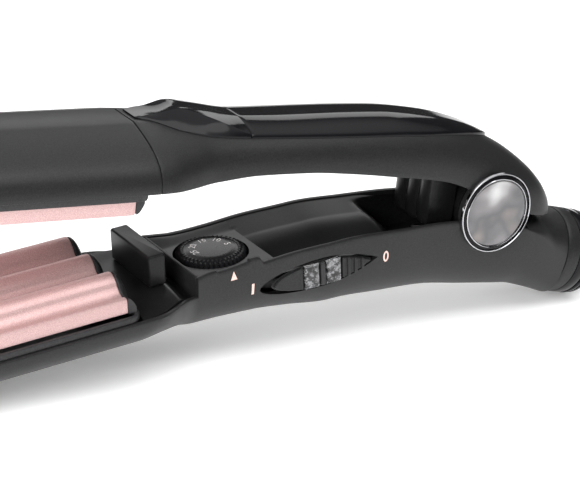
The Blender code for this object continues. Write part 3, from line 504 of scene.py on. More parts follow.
def lower_half(x, lip, tray):
    """Outside and inside points of one side of the lower shell at station x."""
    _, _, w, rim, base, flat, lift = [f(x) for f in LOWER_TRACKS]
    edge = min(EDGE(x), rim)
    top = edge if tray else rim + lip
    ys, hs = section_curve(w, rim, base, flat, lift)
    own = np.arange(len(ys))
    start = float(np.interp(edge - LIP_R, hs, own))
    outside = [(0.0, base)] + sampled(ys, hs, 0, start, 18)
    for h in np.linspace(edge - LIP_R, top - LIP_R, 8)[1:]:
        outside.append((float(np.interp(h, hs, ys)), h))
    over = lip_points(outside[-1][0], top)[1:]
    iy, ih = section_curve(w - WALL, rim, base + WALL, flat, lift)
    stop = float(np.interp(min(over[-1][1], rim) - 0.4, ih, own))
    return outside, over + sampled(iy, ih, stop, 0, 16) + [(0.0, base + WALL)]


def lower_ring(x, tray=False, drop=0.0, closed=False):
    """Ring of the lower shell: outside from the near rim round to the far one, then back."""
    z0, tilt, w, rim = [f(x) for f in LOWER_TRACKS[:4]]
    out_near, in_near = lower_half(x, NEAR_LIP(x) - drop, tray)
    out_far, in_far = lower_half(x, FAR_LIP(x) - drop, tray)
    if closed:
        crown, count = LOWER_CROWN(x), len(in_far) + len(in_near) - 1
        low = out_far[-1][1]
        back = [(w * math.cos(a), low + (rim + crown - low) * math.sin(a))
                for a in np.linspace(0.03, math.pi - 0.03, count)]
    else:
        back = in_far + [(-y, h) for y, h in reversed(in_near[:-1])]
    ring = [(-y, h) for y, h in reversed(out_near[1:])] + out_far + back
    s, c = math.sin(math.radians(tilt)), math.cos(math.radians(tilt))
    return [(x + h * s, y, z0 + h * c) for y, h in ring]


def almond(half_l, half_h, grow=0.0, count=28):
    """Oval with its blunt end at -X and its pointed one at +X, as (z, x) points."""
    half_l, half_h = half_l + grow * 1.6, half_h + grow
    radius = (half_l ** 2 + half_h ** 2) / (2 * half_h)
    angle = math.asin(half_l / radius)
    arc = [(radius * math.cos(a) - (radius - half_h), radius * math.sin(a))
           for a in spread(0, angle, count // 2)]
    blunt = [(half_h * max(0.0, 1 - (x / half_l) ** 2) ** 0.56, x)
             for x in (-half_l * math.sin(math.pi / 2 * t) for t in spread(1, 0, count // 2))][:-1]
    upper = blunt + arc
    return upper + [(-z, x) for z, x in upper[::-1][1:-1]]


def lower_casing():
    """Tray and handle in one shell, cut off flat at the floor, with the slots and bores it needs."""
    rings = [lower_ring(x, True, closed=True) for x in (-250.0, -249.7, -249.2, -248.2, CASE_FRONT)]
    rings += [lower_ring(x, True) for x in (CASE_FRONT + 0.01, -245.0, -243.0, -241.0, -238.0, -234.0)]
    rings += [lower_ring(x, True) for x in spread(-230.0, -142.0, 23) + spread(-140.0, -114.9, 24)]
    rings += [lower_ring(HANDLE_X - 0.05, True)]
    rings += [lower_ring(HANDLE_X + d, False, drop)
              for d, drop in ((0.0, 0.8), (0.1, 0.4), (0.35, 0.1), (0.8, 0.0))]
    rings += [lower_ring(x) for x in spread(-112.6, -108.0, 5) + spread(-107.4, -106.0, 5)
              + spread(-105.0, -96.5, 8) + spread(-95.6, -89.0, 14) + spread(-88.0, CASE_CLOSES, 60)]
    rings += [lower_ring(x, closed=True) for x in spread(CASE_CLOSES + 0.01, TAIL_X, 14)]
    piece = add_piece("casing_lower", loft(rings), ARM, "lower_arm", "charcoal", ["lower_casing"])
    below_floor = prism([(-40, -60), (90, -60), (90, 60), (-40, 60)], -30, 0, "Z")
    cut(piece, below_floor, Matrix.Identity(4))
    slot = [[(x + SWITCH_X, y, z + SWITCH_Z) for z, x in almond(SWITCH_HALF_L, SWITCH_HALF_H, grow)]
            for y, grow in ((-24.0, 0.8), (-19.35, 0.6), (-18.7, 0.3), (-18.2, 0.1), (-15.0, 0.1))]
    cut(piece, loft(slot), ARM)
    bore = prism(circle(0, 0, CORD_BORE_R), -34, 30, "Z")
    cut(piece, moved(bore, TAIL_X, 0, TAIL_Z, (90 + TAIL_TILT, "Y")), ARM)
    for x, z in SCREW_SPOTS:
        cut(piece, moved(prism(circle(0, 0, SCREW_HOLE_R), -10, 12, "Z"), x, 0, z), ARM)


def hinge_cheeks():
    """Round hub on each side of the lower arm that the bezel sits on."""
    for label, side in (("near", -1), ("far", 1)):
        profile = [(3.3, 14.9), (12.6, 14.9), (12.9, 15.2), (12.9, 17.6), (12.6, 17.85), (3.3, 17.85)]
        bm = moved(turned(profile[::-1]), turn=(-90 * side, "X"))
        add_piece(f"hinge_hub_{label}", bm, ARM, "lower_arm", "charcoal")


def smooth(t):
    t = min(max(t, 0.0), 1.0)
    return t * t * (3 - 2 * t)


def deck_and_block():
    """Crowned floor behind the plates that falls away to the handle, and the block standing on it."""
    def top(x, y):
        fall = 5.7 * smooth((x + 122.6) / 7.6)
        return DECK_Z - 3.2 * (abs(y) / 26.0) ** 2.2 - fall
    width = track([(DECK_X0, 26.9), (-130.0, 26.0), (-121.0, 21.4), (DECK_X1, 17.7)])
    bm = sheet(spread(DECK_X0, DECK_X1, 36), width, top, DECK_THICK, 48)
    add_piece("deck", bm, ARM, "lower_arm", "inner_dark", ["guide_deck"])
    block = rounded_box((-127.8, -121.6), (-13.4, 13.4), (4.9, 15.5), 0.8)
    add_piece("deck_block", block, ARM, "lower_arm", "inner_dark", ["guide_block"])


def rim_height(x):
    """Height of the lower shell's rim at station x, with the section's own shift and tilt."""
    z0, tilt, _, rim = [f(x) for f in LOWER_TRACKS[:4]]
    return z0 + rim * math.cos(math.radians(tilt))


def cover_top(x, y):
    """Inner cover: a level bay round the dial, then a surface that runs in from the far rim."""
    w = LOWER_TRACKS[2](x) - WALL
    rim = rim_height(x)
    if x < BAY_X1:
        flat_y = 10.5
        run = smooth((y - flat_y) / (w - flat_y))
        return BAY_Z + (rim + FAR_LIP(x) - COVER_INSET - BAY_Z) * run
    crease, crease_y = rim - 2.2, 6.3
    if y > crease_y:
        return crease + (rim - COVER_INSET - crease) * ((y - crease_y) / (w - crease_y))
    return crease - 4.6 * smooth((crease_y - y) / 21.0)


def inner_cover():
    """Cover inside the handle: it sinks under the spring housing, and the dial sits in its bay."""
    def top(x, y):
        sink = smooth((x + 38.0) / 13.0) * smooth((14.5 - abs(y)) / 3.0)
        return cover_top(x, y) * (1 - sink) - 10.3 * sink
    def width(x):
        return LOWER_TRACKS[2](x) - WALL - 0.12 - 1.6 * smooth((x + 36.0) / 10.0)
    xs = spread(-113.4, BAY_X1 - 0.05, 20) + spread(BAY_X1, -40.0, 24) + spread(-38.5, -11.9, 22)
    bm = sheet(xs, width, top, COVER_THICK, 60)
    piece = add_piece("cover_inner", bm, ARM, "lower_arm", "inner_dark",
                      ["lower_inner_cover"], sharp=28.0)
    cut(piece, moved(prism(circle(0, 0, DIAL_R + DIAL_SLACK, 96), -6, 12, "Z"), DIAL_X), ARM)
    wall = rounded_box((-113.95, -112.7), (-17.75, 17.75), (-3.0, 6.9), 0.45, 3)
    add_piece("cover_front_wall", wall, ARM, "lower_arm", "charcoal")
    floor = turned([(0, 1.0), (DIAL_R + 1.0, 1.0), (DIAL_R + 1.0, 0.4), (0, 0.4)][::-1], 64)
    add_piece("dial_well_floor", moved(floor, DIAL_X), ARM, "lower_arm", "inner_dark")


# ---------------- plates

def wave(y):
    """Height of the waved plate over y: three crests with a valley at each side of them."""
    mid, amp = (CREST_Z + VALLEY_Z) / 2, (CREST_Z - VALLEY_Z) / 2
    c = math.cos(2 * math.pi * y / RIDGE_PITCH)
    c = math.copysign(abs(c) ** 0.8, c)
    if abs(y) > 1.5 * RIDGE_PITCH:
        return min(FLANGE_Z, VALLEY_Z + (abs(y) - 1.5 * RIDGE_PITCH) * 0.7)
    return mid + amp * c


def plate(name, node, place, body, shift, skin, skirt):
    """Waved sheet with a skirt along each side; its ends are rounded over."""
    half, round_off = PLATE_HALF_W, 0.6
    inner = half - abs(skin)
    side = 1.0 if skin > 0 else -1.0
    ys = spread(-half + round_off, half - round_off, 161)
    inner_ys = [-inner] + [y for y in ys if abs(y) < inner - 0.05] + [inner]
    back = [(y, wave(y) + shift - skin) for y in inner_ys]
    rings = []
    ends = [(PLATE_X0, 0.45), (PLATE_X0 + 0.15, 0.15), (PLATE_X0 + 0.5, 0.0)]
    ends += [(x, 0.0) for x in spread(PLATE_X0 + 4, PLATE_X1 - 4, 12)]
    ends += [(PLATE_X1 - 0.5, 0.0), (PLATE_X1 - 0.15, 0.15), (PLATE_X1, 0.45)]
    for x, fall in ends:
        edge = wave(half) + shift
        face = [(y, wave(y) + shift - side * fall) for y in ys]
        corner = [(half - 0.18 - fall * 0.5, edge - side * (0.18 + fall)),
                  (half - fall * 0.5, edge - side * (round_off + fall))]
        foot = [(half - fall * 0.5, skirt), (inner, skirt)]
        ring = face + corner + foot + back[::-1] + [(-y, z) for y, z in foot[::-1] + corner[::-1]]
        rings.append([(x, y, z) for y, z in ring])
    add_piece(name, loft(rings), place, body, "rose_gold", [node])


def plate_end(name, node, place, body, x0, x1, shift, skirt, lean):
    """Grey moulding that closes the end of the waves, sloping off to its foot."""
    half = PLATE_HALF_W - 0.2
    ys = spread(-half, half, 121)
    rings = []
    for t in spread(0.0, 1.0, 7):
        fall = lean * (t ** 2.2) + (0.0 if t else math.copysign(0.35, lean))
        x = x0 + (x1 - x0) * t
        rings.append([(x, y, wave(y) + shift - fall) for y in ys] + [(x, half, skirt), (x, -half, skirt)])
    add_piece(name, loft(rings), place, body, "end_grey", [node])


def plate_frame(name, node, place, body, back, face):
    """Carrier round a plate: a flat band with a raised lip round its opening and rounded corners."""
    def outline(inset, r, steps=6):
        points = []
        x0, x1, w = FRAME_X0 + inset, FRAME_X1 - inset, FRAME_HALF_W - inset
        for cx, cy, start in ((x1, w, 0), (x0, w, 90), (x0, -w, 180), (x1, -w, 270)):
            sx, sy = (1 if cx == x1 else -1), (1 if cy > 0 else -1)
            for k in range(steps + 1):
                a = math.radians(start + 90 * k / steps)
                points.append((cx - sx * r + r * math.cos(a), cy - sy * r + r * math.sin(a)))
        return points
    s = 1 if face > back else -1
    steps = [(0.0, 4.0, back), (0.0, 4.0, face - s * 0.5), (0.12, 3.9, face - s * 0.12),
             (0.45, 3.6, face), (0.95, 3.1, face), (1.15, 2.9, face - s * 0.2),
             (1.25, 2.8, face - s * 0.6), (1.62, 2.4, face - s * 0.7), (1.66, 2.3, back)]
    rings = [[(x, y, z) for x, y in outline(inset, r)] for inset, r, z in steps]
    add_piece(name, loft(rings, closed=True), place, body, "end_grey", [node])


def plates():
    plate("plate_lower", "lower_plate", ARM, "lower_arm", 0.0, PLATE_SKIN, LOWER_SKIRT)
    plate("plate_upper", "upper_plate", OPEN, "upper_arm", PLATE_GAP, -PLATE_SKIN, UPPER_SKIRT)
    for place, body, side, shift, foot, lean in (
            (ARM, "lower_arm", "lower", -END_DROP, END_FEET[0], END_LEAN),
            (OPEN, "upper_arm", "upper", PLATE_GAP + END_DROP, END_FEET[1], -END_LEAN)):
        for where, x, way in (("rear", PLATE_X1, 1), ("front", PLATE_X0, -1)):
            plate_end(f"plate_end_{side}_{where}", f"{side}_plate_end_{where}", place, body,
                      x + way * END_GAP, x + way * END_LEN, shift, foot, lean)
    plate_frame("frame_lower", "lower_plate_frame", ARM, "lower_arm", *LOWER_FRAME)
    plate_frame("frame_upper", "upper_plate_frame", OPEN, "upper_arm", *reversed(UPPER_FRAME))


# ---------------- upper arm

def upper_curve(x, wall=0.0):
    """Section of the upper arm at x, its heights counted downwards like the lower arm's."""
    w, rim, top, flat, lift = [f(x) for f in UPPER_TRACKS]
    return section_curve(w - wall, -rim, -(top - wall), flat, lift)


def upper_surface(x, y):
    """Height of the upper arm's outer skin over (x, y)."""
    ys, hs = upper_curve(x)
    across, heights = np.insert(ys, 0, 0.0), np.insert(hs, 0, hs[0])
    return -float(np.interp(min(abs(y), ys[-1] - 0.01), across, heights))


def upper_ring(x, inset=0.0, closed=False):
    """Ring of the upper shell, open below or closed there by a flat bottom."""
    rim = UPPER_TRACKS[1](x)
    ys, hs = upper_curve(x)
    if inset:
        ys, hs = ys - inset, hs + inset * (ys < ys[-1] * 0.7)
    own = np.arange(len(ys))
    stop = float(np.interp(-rim - LIP_R, hs, own))
    outside = [(0.0, hs[0])] + sampled(ys, hs, 0, stop, 26)
    over = lip_points(outside[-1][0], -rim)[1:]
    if closed:
        count = 2 * (len(over) + 17) - 1
        w = outside[-1][0]
        back = [(w * math.cos(a), -rim - LIP_R * (1 - math.sin(a)))
                for a in np.linspace(0.03, math.pi - 0.03, count)]
    else:
        iy, ih = upper_curve(x, WALL)
        stop = float(np.interp(over[-1][1] - 0.4, ih, own))
        inside = over + sampled(iy, ih, stop, 0, 16) + [(0.0, ih[0])]
        back = inside + [(-y, h) for y, h in reversed(inside[:-1])]
    ring = [(-y, h) for y, h in reversed(outside[1:])] + outside + back
    return [(x, y, -h) for y, h in ring]


def upper_shells():
    """Front casing and handle shell, with a shadow gap between them and round the hinge hubs."""
    front = [upper_ring(x, closed=True) for x in (-250.0, -249.7, -249.2, -248.2, -246.8)]
    front += [upper_ring(x) for x in (-246.79, -245.0, -243.0, -241.0, -238.0, -234.0)]
    front += [upper_ring(x) for x in spread(-230.0, SEAM_X - 1.0, 26) + [SEAM_X - 0.5]]
    front += [upper_ring(SEAM_X - 0.22, 0.05), upper_ring(SEAM_X - 0.05, 0.28)]
    add_piece("casing_upper_front", loft(front), OPEN, "upper_arm", "charcoal",
              ["upper_front_casing"])
    rear = [upper_ring(SEAM_X + 0.25, 0.28), upper_ring(SEAM_X + 0.42, 0.05)]
    rear += [upper_ring(x) for x in spread(SEAM_X + 0.7, -110.0, 20) + spread(-108.0, 10.0, 60)
             + spread(11.0, UPPER_CLOSES, 12)]
    rear += [upper_ring(x, closed=True) for x in spread(UPPER_CLOSES + 0.01, UPPER[-1][0], 10)]
    piece = add_piece("casing_upper_handle", loft(rear), OPEN, "upper_arm", "charcoal",
                      ["upper_handle_shell"])
    for side in (-1, 1):
        low, high = sorted((side * 14.6, side * 24.0))
        cut(piece, prism(circle(0, 0, CHEEK_R, 96), low, high, "Y"), OPEN)


GLOSS_WIDTH = track([(-97.0, 14.3), (-60.0, 14.9), (-35.0, 14.2), (-20.0, 12.4), (-8.0, 9.0), (0.0, 5.0),
                     (3.6, 1.6), (4.0, 0.9)])
REST_X0, REST_X1 = -133.2, -97.0
REST_WIDTH = track([(REST_X0, 4.2), (-127.5, 7.0), (-120.0, 11.4), (-110.0, 13.6), (REST_X1, 14.3)])
REST_RIDGE = track([(REST_X0, 0.1), (-126.5, 1.2), (-119.6, 3.0), (-118.0, 3.2), (-112.0, 2.7),
                    (-106.0, 1.9), (-101.0, 1.0), (REST_X1, 0.4)])
REST_STEP = track([(REST_X0, 0.5), (-121.0, 0.6), (-112.0, 0.9), (REST_X1, 1.1)])
REST_CREASE = track([(REST_X0, 0.88), (-127.5, 0.60), (-123.0, 0.47), (-118.5, 0.42), (-112.0, 0.56),
                     (-104.0, 0.82), (REST_X1, 0.97)])


PANEL_X0, PANEL_RISE, PANEL_FLOAT = -96.7, 1.15, 0.1
EDGE_R, EDGE_DEPTH = 0.7, 0.55


def edge_drop(y, w):
    """Rounded-over side edge of a thin raised panel."""
    gap = w - abs(y)
    return 0.0 if gap > EDGE_R else EDGE_DEPTH * (1 - math.sqrt(max(0.0, 1 - (1 - gap / EDGE_R) ** 2)))


def gloss_panel():
    """Thin panel on the handle's back, with more columns where its side edges round over."""
    def top(x, y):
        end = min(1.0, (x - PANEL_X0) / 0.5)
        return upper_surface(x, y) + PANEL_RISE - edge_drop(y, GLOSS_WIDTH(x)) - 0.4 * (1 - end) ** 2
    xs = [PANEL_X0, -96.6, -96.4, -96.1] + spread(-95.0, -20.0, 50) + spread(-19.0, 4.0, 24)
    fine = [-1 + 2 * j / 40 for j in range(41)]
    rings = []
    for x in xs:
        w = GLOSS_WIDTH(x)
        at_edges = {round(s * (w - d), 4) for d in (0.1, 0.25, 0.45, EDGE_R) for s in (-1, 1)}
        ys = sorted({round(w * f, 4) for f in fine} | at_edges)
        ys = ys if len(ys) == 49 else [w * f for f in spread(-1, 1, 49)]
        rings.append([(x, y, top(x, y)) for y in ys]
                     + [(x, y, upper_surface(x, y) + PANEL_FLOAT) for y in reversed(ys)])
    add_piece("panel_gloss", loft(rings), OPEN, "upper_arm", "piano_black",
              ["gloss_panel"])


def thumb_rest():
    """Gloss wing with a sharp crease each side, from the nose over a peak to the back corners."""
    rings = []
    for x in spread(REST_X0, REST_X1 - 0.1, 70):
        w, k = REST_WIDTH(x), REST_CREASE(x)
        foot = upper_surface(x, w) + REST_STEP(x) - 0.3
        crest = upper_surface(x, k * w) + REST_STEP(x) + REST_RIDGE(x)
        side = [(w * (k + (1 - k) * t), crest + (foot - crest) * t + 0.25 * math.sin(math.pi * t))
                for t in spread(0, 1, 13)]
        middle = [(w * k * t, upper_surface(x, w * k * t) + REST_STEP(x)
                   + REST_RIDGE(x) * (0.85 + 0.15 * t * t)) for t in spread(-1, 1, 25)]
        line = [(-y, z) for y, z in side[::-1]][:-1] + middle + side[1:]
        rings.append([(x, y, z) for y, z in line]
                     + [(x, y, upper_surface(x, y) + PANEL_FLOAT) for y, _ in reversed(line)])
    add_piece("rest_thumb", loft(rings), OPEN, "upper_arm", "piano_black",
              ["thumb_rest"], sharp=12.0)


# ---------------- controls and marks

def dial():
    """Knurled knob with a shouldered top and numbers round it."""
    count = KNURLS * KNURL_STEPS
    rings = []
    levels = [(1.7, -0.9, 0.0), (2.0, -0.2, 0.7), (2.2, 0.0, 1.0), (4.8, 0.0, 1.0), (5.2, -0.2, 1.0),
              (5.5, -0.6, 1.0), (5.75, -1.2, 0.9), (5.9, -1.9, 0.6), (5.95, -2.5, 0.1), (5.75, -2.8, 0.0),
              (5.8, -3.2, 0.0), (6.05, -3.8, 0.0), (6.14, -5.0, 0.0)]
    for z, inset, depth in levels:
        ring = []
        for i in range(count):
            phase = (i % KNURL_STEPS) / KNURL_STEPS
            groove = KNURL_DEPTH * depth * max(0.0, math.sin(math.pi * phase)) ** 0.9
            r, a = DIAL_R + inset - groove, 2 * math.pi * i / count
            ring.append((r * math.cos(a), r * math.sin(a), z))
        rings.append(ring)
    place = ARM @ Matrix.Translation(Vector((DIAL_X, 0, 0)) * MM)
    add_piece("dial_knob", loft(rings), place, "dial", "knob_black",
              ["temperature_dial"], sharp=40.0)
    for i, label in enumerate(("5", "10", "15", "20", "25")):
        angle = math.radians(NUMBER_START + NUMBER_TURN * i)
        at = Vector((NUMBER_R * math.cos(angle), NUMBER_R * math.sin(angle), NUMBER_Z))
        spot = place @ Matrix.Translation(at * MM) @ Matrix.Rotation(angle - math.pi / 2, 4, "Z")
        add_text(f"dial_number_{label}", label, NUMBER_SIZE, spot, "dial")


def add_text(name, text, size, place, body):
    """Raised print of a few digits, turned into a mesh."""
    curve = bpy.data.curves.new(name, "FONT")
    curve.body, curve.size, curve.extrude = text, size * MM, 0.03 * MM
    curve.align_x, curve.align_y = "CENTER", "CENTER"
    helper = linked(name + "_curve", curve)
    bpy.context.view_layer.update()
    mesh = bpy.data.meshes.new_from_object(helper.evaluated_get(bpy.context.evaluated_depsgraph_get()))
    bpy.data.objects.remove(helper, do_unlink=True)
    bpy.data.curves.remove(curve)
    mesh.transform(place)
    mesh.materials.clear()
    mesh.materials.append(LOOKS["white_print"])
    piece = linked(name, mesh)
    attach(piece, body)


def near_side(x, z):
    """Distance of the lower arm's near side from the middle at (x, z)."""
    z0, _, w, rim, base, flat, lift = [f(x) for f in LOWER_TRACKS]
    ys, hs = section_curve(w, rim, base, flat, lift)
    return float(np.interp(z - z0, hs, ys))


def wall_strip(name, x, z0, z1, low_half, high_half):
    """Thin print on the near side that follows its curve upwards and may taper."""
    corners = ((-1, PRINT_UP), (1, PRINT_UP), (1, PRINT_DOWN), (-1, PRINT_DOWN))
    rings = []
    for z, half in zip(spread(z0, z1, 11), spread(low_half, high_half, 11)):
        rings.append([(x + side * half, -near_side(x, z) - lift, z) for side, lift in corners])
    add_piece(name, loft(rings), ARM, "lower_arm", "rose_print", weld=1e-7)


def wall_mark(name, outline, hole):
    """Thin ring printed on the near side, between two loops of (x, z) points."""
    rings = [[(x, -near_side(x, z) - lift, z) for x, z in points] for points, lift in (
        (outline, PRINT_UP), (hole, PRINT_UP), (hole, PRINT_DOWN), (outline, PRINT_DOWN))]
    add_piece(name, loft(rings, closed=True), ARM, "lower_arm", "rose_print")


def marks():
    """Pointer at the dial, on stroke and off ring beside the slider."""
    tx, tz = MARK_TRIANGLE
    wall_strip("mark_dial_pointer", tx, tz - 1.35, tz + 1.6, 1.15, 0.03)
    ix, iz = MARK_ON
    wall_strip("mark_on", ix, iz - 2.0, iz + 2.0, 0.45, 0.45)
    ox, oz = MARK_OFF
    ovals = [[(ox + rx * math.cos(a), oz + rz * math.sin(a)) for a in spread(0, 2 * math.pi, 37)[:-1]]
             for rx, rz in ((1.05, 2.0), (0.5, 1.35))]
    wall_mark("mark_off", *ovals)


def sorted_loop(points):
    """Points of a convex outline in order round their middle."""
    cz = sum(p[0] for p in points) / len(points)
    cx = sum(p[1] for p in points) / len(points)
    return sorted(points, key=lambda p: math.atan2(p[1] - cx, p[0] - cz))


def switch():
    """Almond slider: smooth pad, two faceted windows round a post, and a ridged pad."""
    base = prism(almond(SLIDER_HALF_L, SLIDER_HALF_H), -18.0, -17.4, "Y")
    slider = add_piece("slider_base", moved(base, SLIDER_X, 0, SWITCH_Z), ARM, "slider", "charcoal",
                       ["switch_slider"])
    round_edges(slider, 0.35)
    outline = almond(SLIDER_HALF_L, SLIDER_HALF_H, -0.45, 60)
    for name, low, high in (("left", -120.0, WINDOW_XS[0] - WINDOW_ROOM),
                            ("right", WINDOW_XS[1] + WINDOW_ROOM, 0.0)):
        pad = [(z, x) for z, x in outline if low <= x + SLIDER_X <= high]
        bm = moved(prism(sorted_loop(pad), PAD_FACE - 0.55, -17.9, "Y"), SLIDER_X, 0, SWITCH_Z)
        piece = add_piece(f"slider_pad_{name}", bm, ARM, "slider", "charcoal")
        round_edges(piece, 0.3)
    for i, x in enumerate(WINDOW_XS):
        facets = [(2.7, 4.1, -17.6), (2.7, 4.1, -18.9), (2.4, 3.7, -19.35), (1.5, 2.2, -19.6)]
        rings = [[(x + sx * a, y, SWITCH_Z + sz * b) for sx, sz in
                  ((-1, -1), (1, -1), (1, 1), (-1, 1))] for a, b, y in facets]
        add_piece(f"slider_window_{i + 1}", loft(rings), ARM, "slider", "clear_lens",
                  [f"switch_window_{i + 1}"], 10.0)
    mid = sum(WINDOW_XS) / 2
    post = rounded_box((mid - 0.9, mid + 0.9), (-19.5, -17.2), (SWITCH_Z - 4.0, SWITCH_Z + 4.0), 0.5, 4)
    add_piece("slider_post", post, ARM, "slider", "end_grey")
    for i in range(3):
        x = WINDOW_XS[1] + 5.6 + 2.6 * i
        half = 3.3 - 0.75 * i
        bar = rounded_box((x - 0.55, x + 0.55), (-19.75, -18.6), (SWITCH_Z - half, SWITCH_Z + half), 0.4, 4)
        add_piece(f"slider_ridge_{i + 1}", bar, ARM, "slider", "charcoal")


# ---------------- hinge, spring housing and tail

def hinge_caps():
    """Bezel on each side of the hinge: chrome rim, gloss band, chrome bead and a domed disc."""
    for label, side in (("near", -1), ("far", 1)):
        turn = (-90 * side, "X")
        rim = [(13.5, 0.0), (13.8, 0.0), (14.0, 0.3), (14.0, 1.2), (13.85, 1.45), (13.6, 1.5), (13.5, 1.35)]
        band = [(12.3, 0.0), (13.4, 0.0), (13.4, 1.0), (12.9, 1.15), (12.3, 1.3)]
        inner = [(11.9, 0.0), (12.25, 0.0), (12.25, 1.62), (12.1, 1.74), (11.95, 1.7), (11.9, 1.6)]
        for piece, profile, slot, look in (("rim", rim, "chrome", "chrome"),
                                           ("band", band, "gloss_black", "piano_black"),
                                           ("bead", inner, "chrome", "chrome")):
            bm = moved(turned(profile, 128), 0, side * BEZEL_BACK, 0, turn)
            replaced = [f"hinge_cap_rim_{label}"] if piece == "rim" else []
            add_piece(f"cap_{piece}_{label}", bm, ARM, "lower_arm", look, replaced)
        dome = [(0.0, 0.1), (11.85, 0.1), (11.85, 1.25)]
        dome += [(r, 1.35 + 0.6 * (1 - (r / 11.7) ** 2)) for r in spread(11.7, 0.6, 14)] + [(0.0, 1.95)]
        bm = moved(turned(dome, 128), 0, side * BEZEL_BACK, 0, turn)
        add_piece(f"cap_disc_{label}", bm, ARM, "lower_arm", "pearl_and_reflection_disc",
                  [f"hinge_cap_disc_{label}"])


def spring_housing():
    """Housing with three upright lobes that hangs over the spring, slotted open at its back."""
    half = HOUSING_HALF_W
    def outline(inset):
        points = []
        for y in spread(half - inset, inset - half, 72):
            lobe = abs(math.sin(3 * math.pi * (y + half) / (2 * half)))
            points.append((HOUSING_X0 + inset + 1.3 * (1 - lobe ** 0.7), y))
        return points + [(HOUSING_X1 - inset, inset - half), (HOUSING_X1 - inset, half - inset)]
    rings = [[(x, y, z) for x, y in outline(inset)] for inset, z in (
        (3.2, -7.0), (1.8, -6.7), (0.8, -6.0), (0.2, -5.0), (0.0, -3.6), (0.0, 8.0), (0.0, HOUSING_TOP))]
    piece = add_piece("housing_spring", loft(rings), OPEN, "upper_arm", "inner_dark",
                      ["spring_housing"], sharp=40.0)
    slot = [(-4.3 * math.cos(t), SPRING_ROOM * math.sin(t)) for t in spread(-math.pi / 2, math.pi / 2, 25)]
    slot += [(7.0, SPRING_ROOM), (7.0, -SPRING_ROOM)]
    cut(piece, moved(prism(slot, -20, 18.5, "Z"), SPRING_X), OPEN)


def tail():
    """Turning collar at the cord end: a step ring, a plain band, two grooves and the cord inlet."""
    place = ARM @ Matrix.Translation(Vector((TAIL_X, 0, TAIL_Z)) * MM)
    place = place @ Matrix.Rotation(math.radians(90 + TAIL_TILT), 4, "Y")
    band = [(7.9, 0.3), (14.3, 0.3), (14.75, 0.55), (14.95, 1.1), (15.05, 2.2), (15.08, 5.4),
            (14.9, 5.6), (7.9, 5.6)]
    add_piece("collar_band", turned(band, 128), place, "swivel", "charcoal")
    profile = [(3.6, -9.0), (7.8, -9.0), (7.8, 5.7), (14.7, 5.7), (15.0, 5.85), (15.1, 6.2), (15.1, 9.6),
               (14.95, 9.9), (14.5, 10.1), (14.5, 10.6), (14.95, 10.8), (15.1, 11.1), (15.1, 12.0),
               (14.95, 12.3), (14.5, 12.5), (14.5, 13.0), (14.9, 13.2), (14.8, 14.2), (14.2, 15.4),
               (13.1, 16.3), (11.6, 16.85), (10.6, 17.0), (8.2, 17.0), (7.7, 17.2), (7.3, 18.6),
               (6.6, 20.6), (6.0, 21.3), (4.9, 21.6), (4.0, 21.5), (3.6, 21.2)]
    add_piece("collar_cord", turned(profile, 128), place, "swivel", "piano_black",
              ["cord_swivel"])


KEPT_LOOKS = {
    "inner_dark": ("hinge_knuckle", "upper_inner_cover", "switch_backing"),
    "steel": ("hinge_pin", "hinge_washer_near", "hinge_washer_far", "handle_screw_1", "handle_screw_2",
              "return_spring", "lower_thermal_fuse", "upper_thermal_fuse"),
    "aluminium": ("lower_heater_clamp", "upper_heater_clamp"), "ceramic": ("lower_heater", "upper_heater"),
    "board_green": ("circuit_board",), "component": ("dial_control", "switch_body", "power_switch_chip"),
}


def dress_cad():
    """Materials for the CAD nodes that are kept."""
    for look, nodes in KEPT_LOOKS.items():
        for node in nodes:
            for slot in frame["nodes"][node].material_slots:
                slot.material = LOOKS[look]


# ---------------- camera, floor and light

def add_camera():
    """Long lens at the near side, seen from the plate end and above."""
    azimuth, elevation, roll = math.radians(-29.6), math.radians(25.0), math.radians(-2.07)
    right = Vector((math.cos(azimuth), math.sin(azimuth), 0))
    back = Vector((math.sin(azimuth) * math.cos(elevation), -math.cos(azimuth) * math.cos(elevation),
                   math.sin(elevation)))
    up = back.cross(right)
    turned_right = math.cos(roll) * right + math.sin(roll) * up
    turned_up = math.cos(roll) * up - math.sin(roll) * right
    look = Matrix((turned_right, turned_up, back)).transposed().to_4x4()
    place = Matrix.Translation(Vector((-408.0, -596.3, 320.75)) * MM)
    data = bpy.data.cameras.new("camera")
    data.sensor_width, data.lens = 36.0, 142.8
    data.clip_end = 20.0
    camera = linked("camera", data)
    camera.matrix_world = ARM @ place @ look
    bpy.context.scene.camera = camera


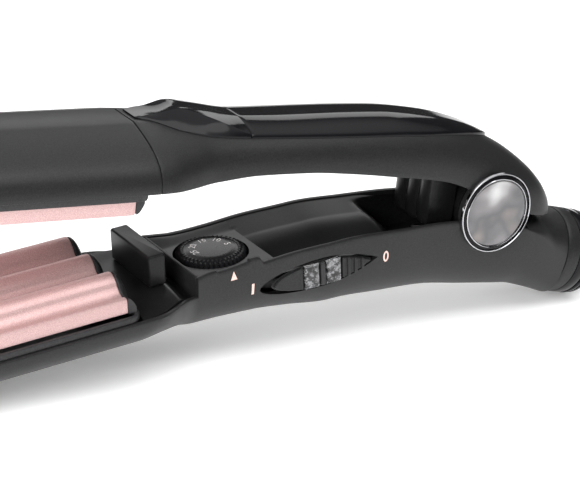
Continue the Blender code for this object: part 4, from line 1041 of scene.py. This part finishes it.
def area_light(name, at, target, size, power):
    data = bpy.data.lights.new(name, "AREA")
    data.shape, data.size, data.size_y, data.energy = "RECTANGLE", *size, power
    light = linked(name, data)
    light.location = at
    light.rotation_euler = (Vector(target) - Vector(at)).to_track_quat("-Z", "Y").to_euler()
    return light


def add_stage():
    """White floor, a sky that is bright overhead, and three soft lights."""
    mesh = bpy.data.meshes.new("floor")
    bm = bmesh.new()
    bmesh.ops.create_grid(bm, x_segments=1, y_segments=1, size=6.0)
    bm.to_mesh(mesh)
    bm.free()
    floor = linked("floor", mesh)
    mat = bpy.data.materials.new("floor_white")
    mat.use_nodes = True
    shader = mat.node_tree.nodes["Principled BSDF"]
    shader.inputs["Base Color"].default_value = (0.95, 0.95, 0.95, 1)
    shader.inputs["Roughness"].default_value = 0.9
    shader.inputs["Emission Color"].default_value = (1, 1, 1, 1)
    shader.inputs["Emission Strength"].default_value = 0.2
    mesh.materials.append(mat)
    world = bpy.data.worlds.new("studio")
    bpy.context.scene.world = world
    world.use_nodes = True
    tree = world.node_tree
    direction = tree.nodes.new("ShaderNodeTexCoord")
    parts = tree.nodes.new("ShaderNodeSeparateXYZ")
    tree.links.new(direction.outputs["Generated"], parts.inputs[0])
    sky = ramp(tree, parts.outputs["Z"], [(0.0, (0.05, 0.05, 0.05)), (0.55, (0.05, 0.05, 0.05)),
                                          (0.80, (1.0, 1.0, 1.0))])
    tree.links.new(sky, tree.nodes["Background"].inputs["Color"])
    tree.nodes["Background"].inputs["Strength"].default_value = 1.2
    area_light("key_top", (0.0, -0.5, 1.3), (0.1, 0.0, 0.03), (1.8, 0.8), 13)
    fill = area_light("fill_front", (-0.75, -0.55, 0.45), (0.02, 0.0, 0.04), (0.7, 0.4), 15)
    fill.visible_glossy = False
    area_light("strip_back", (0.62, 1.05, 0.62), (0.12, 0.0, 0.07), (1.1, 0.32), 2.4)
    bpy.context.scene.view_settings.view_transform = "Standard"


add_camera()
add_stage()
lower_casing()
hinge_cheeks()
deck_and_block()
inner_cover()
plates()
upper_shells()
gloss_panel()
thumb_rest()
dial()
marks()
switch()
hinge_caps()
spring_housing()
tail()
dress_cad()
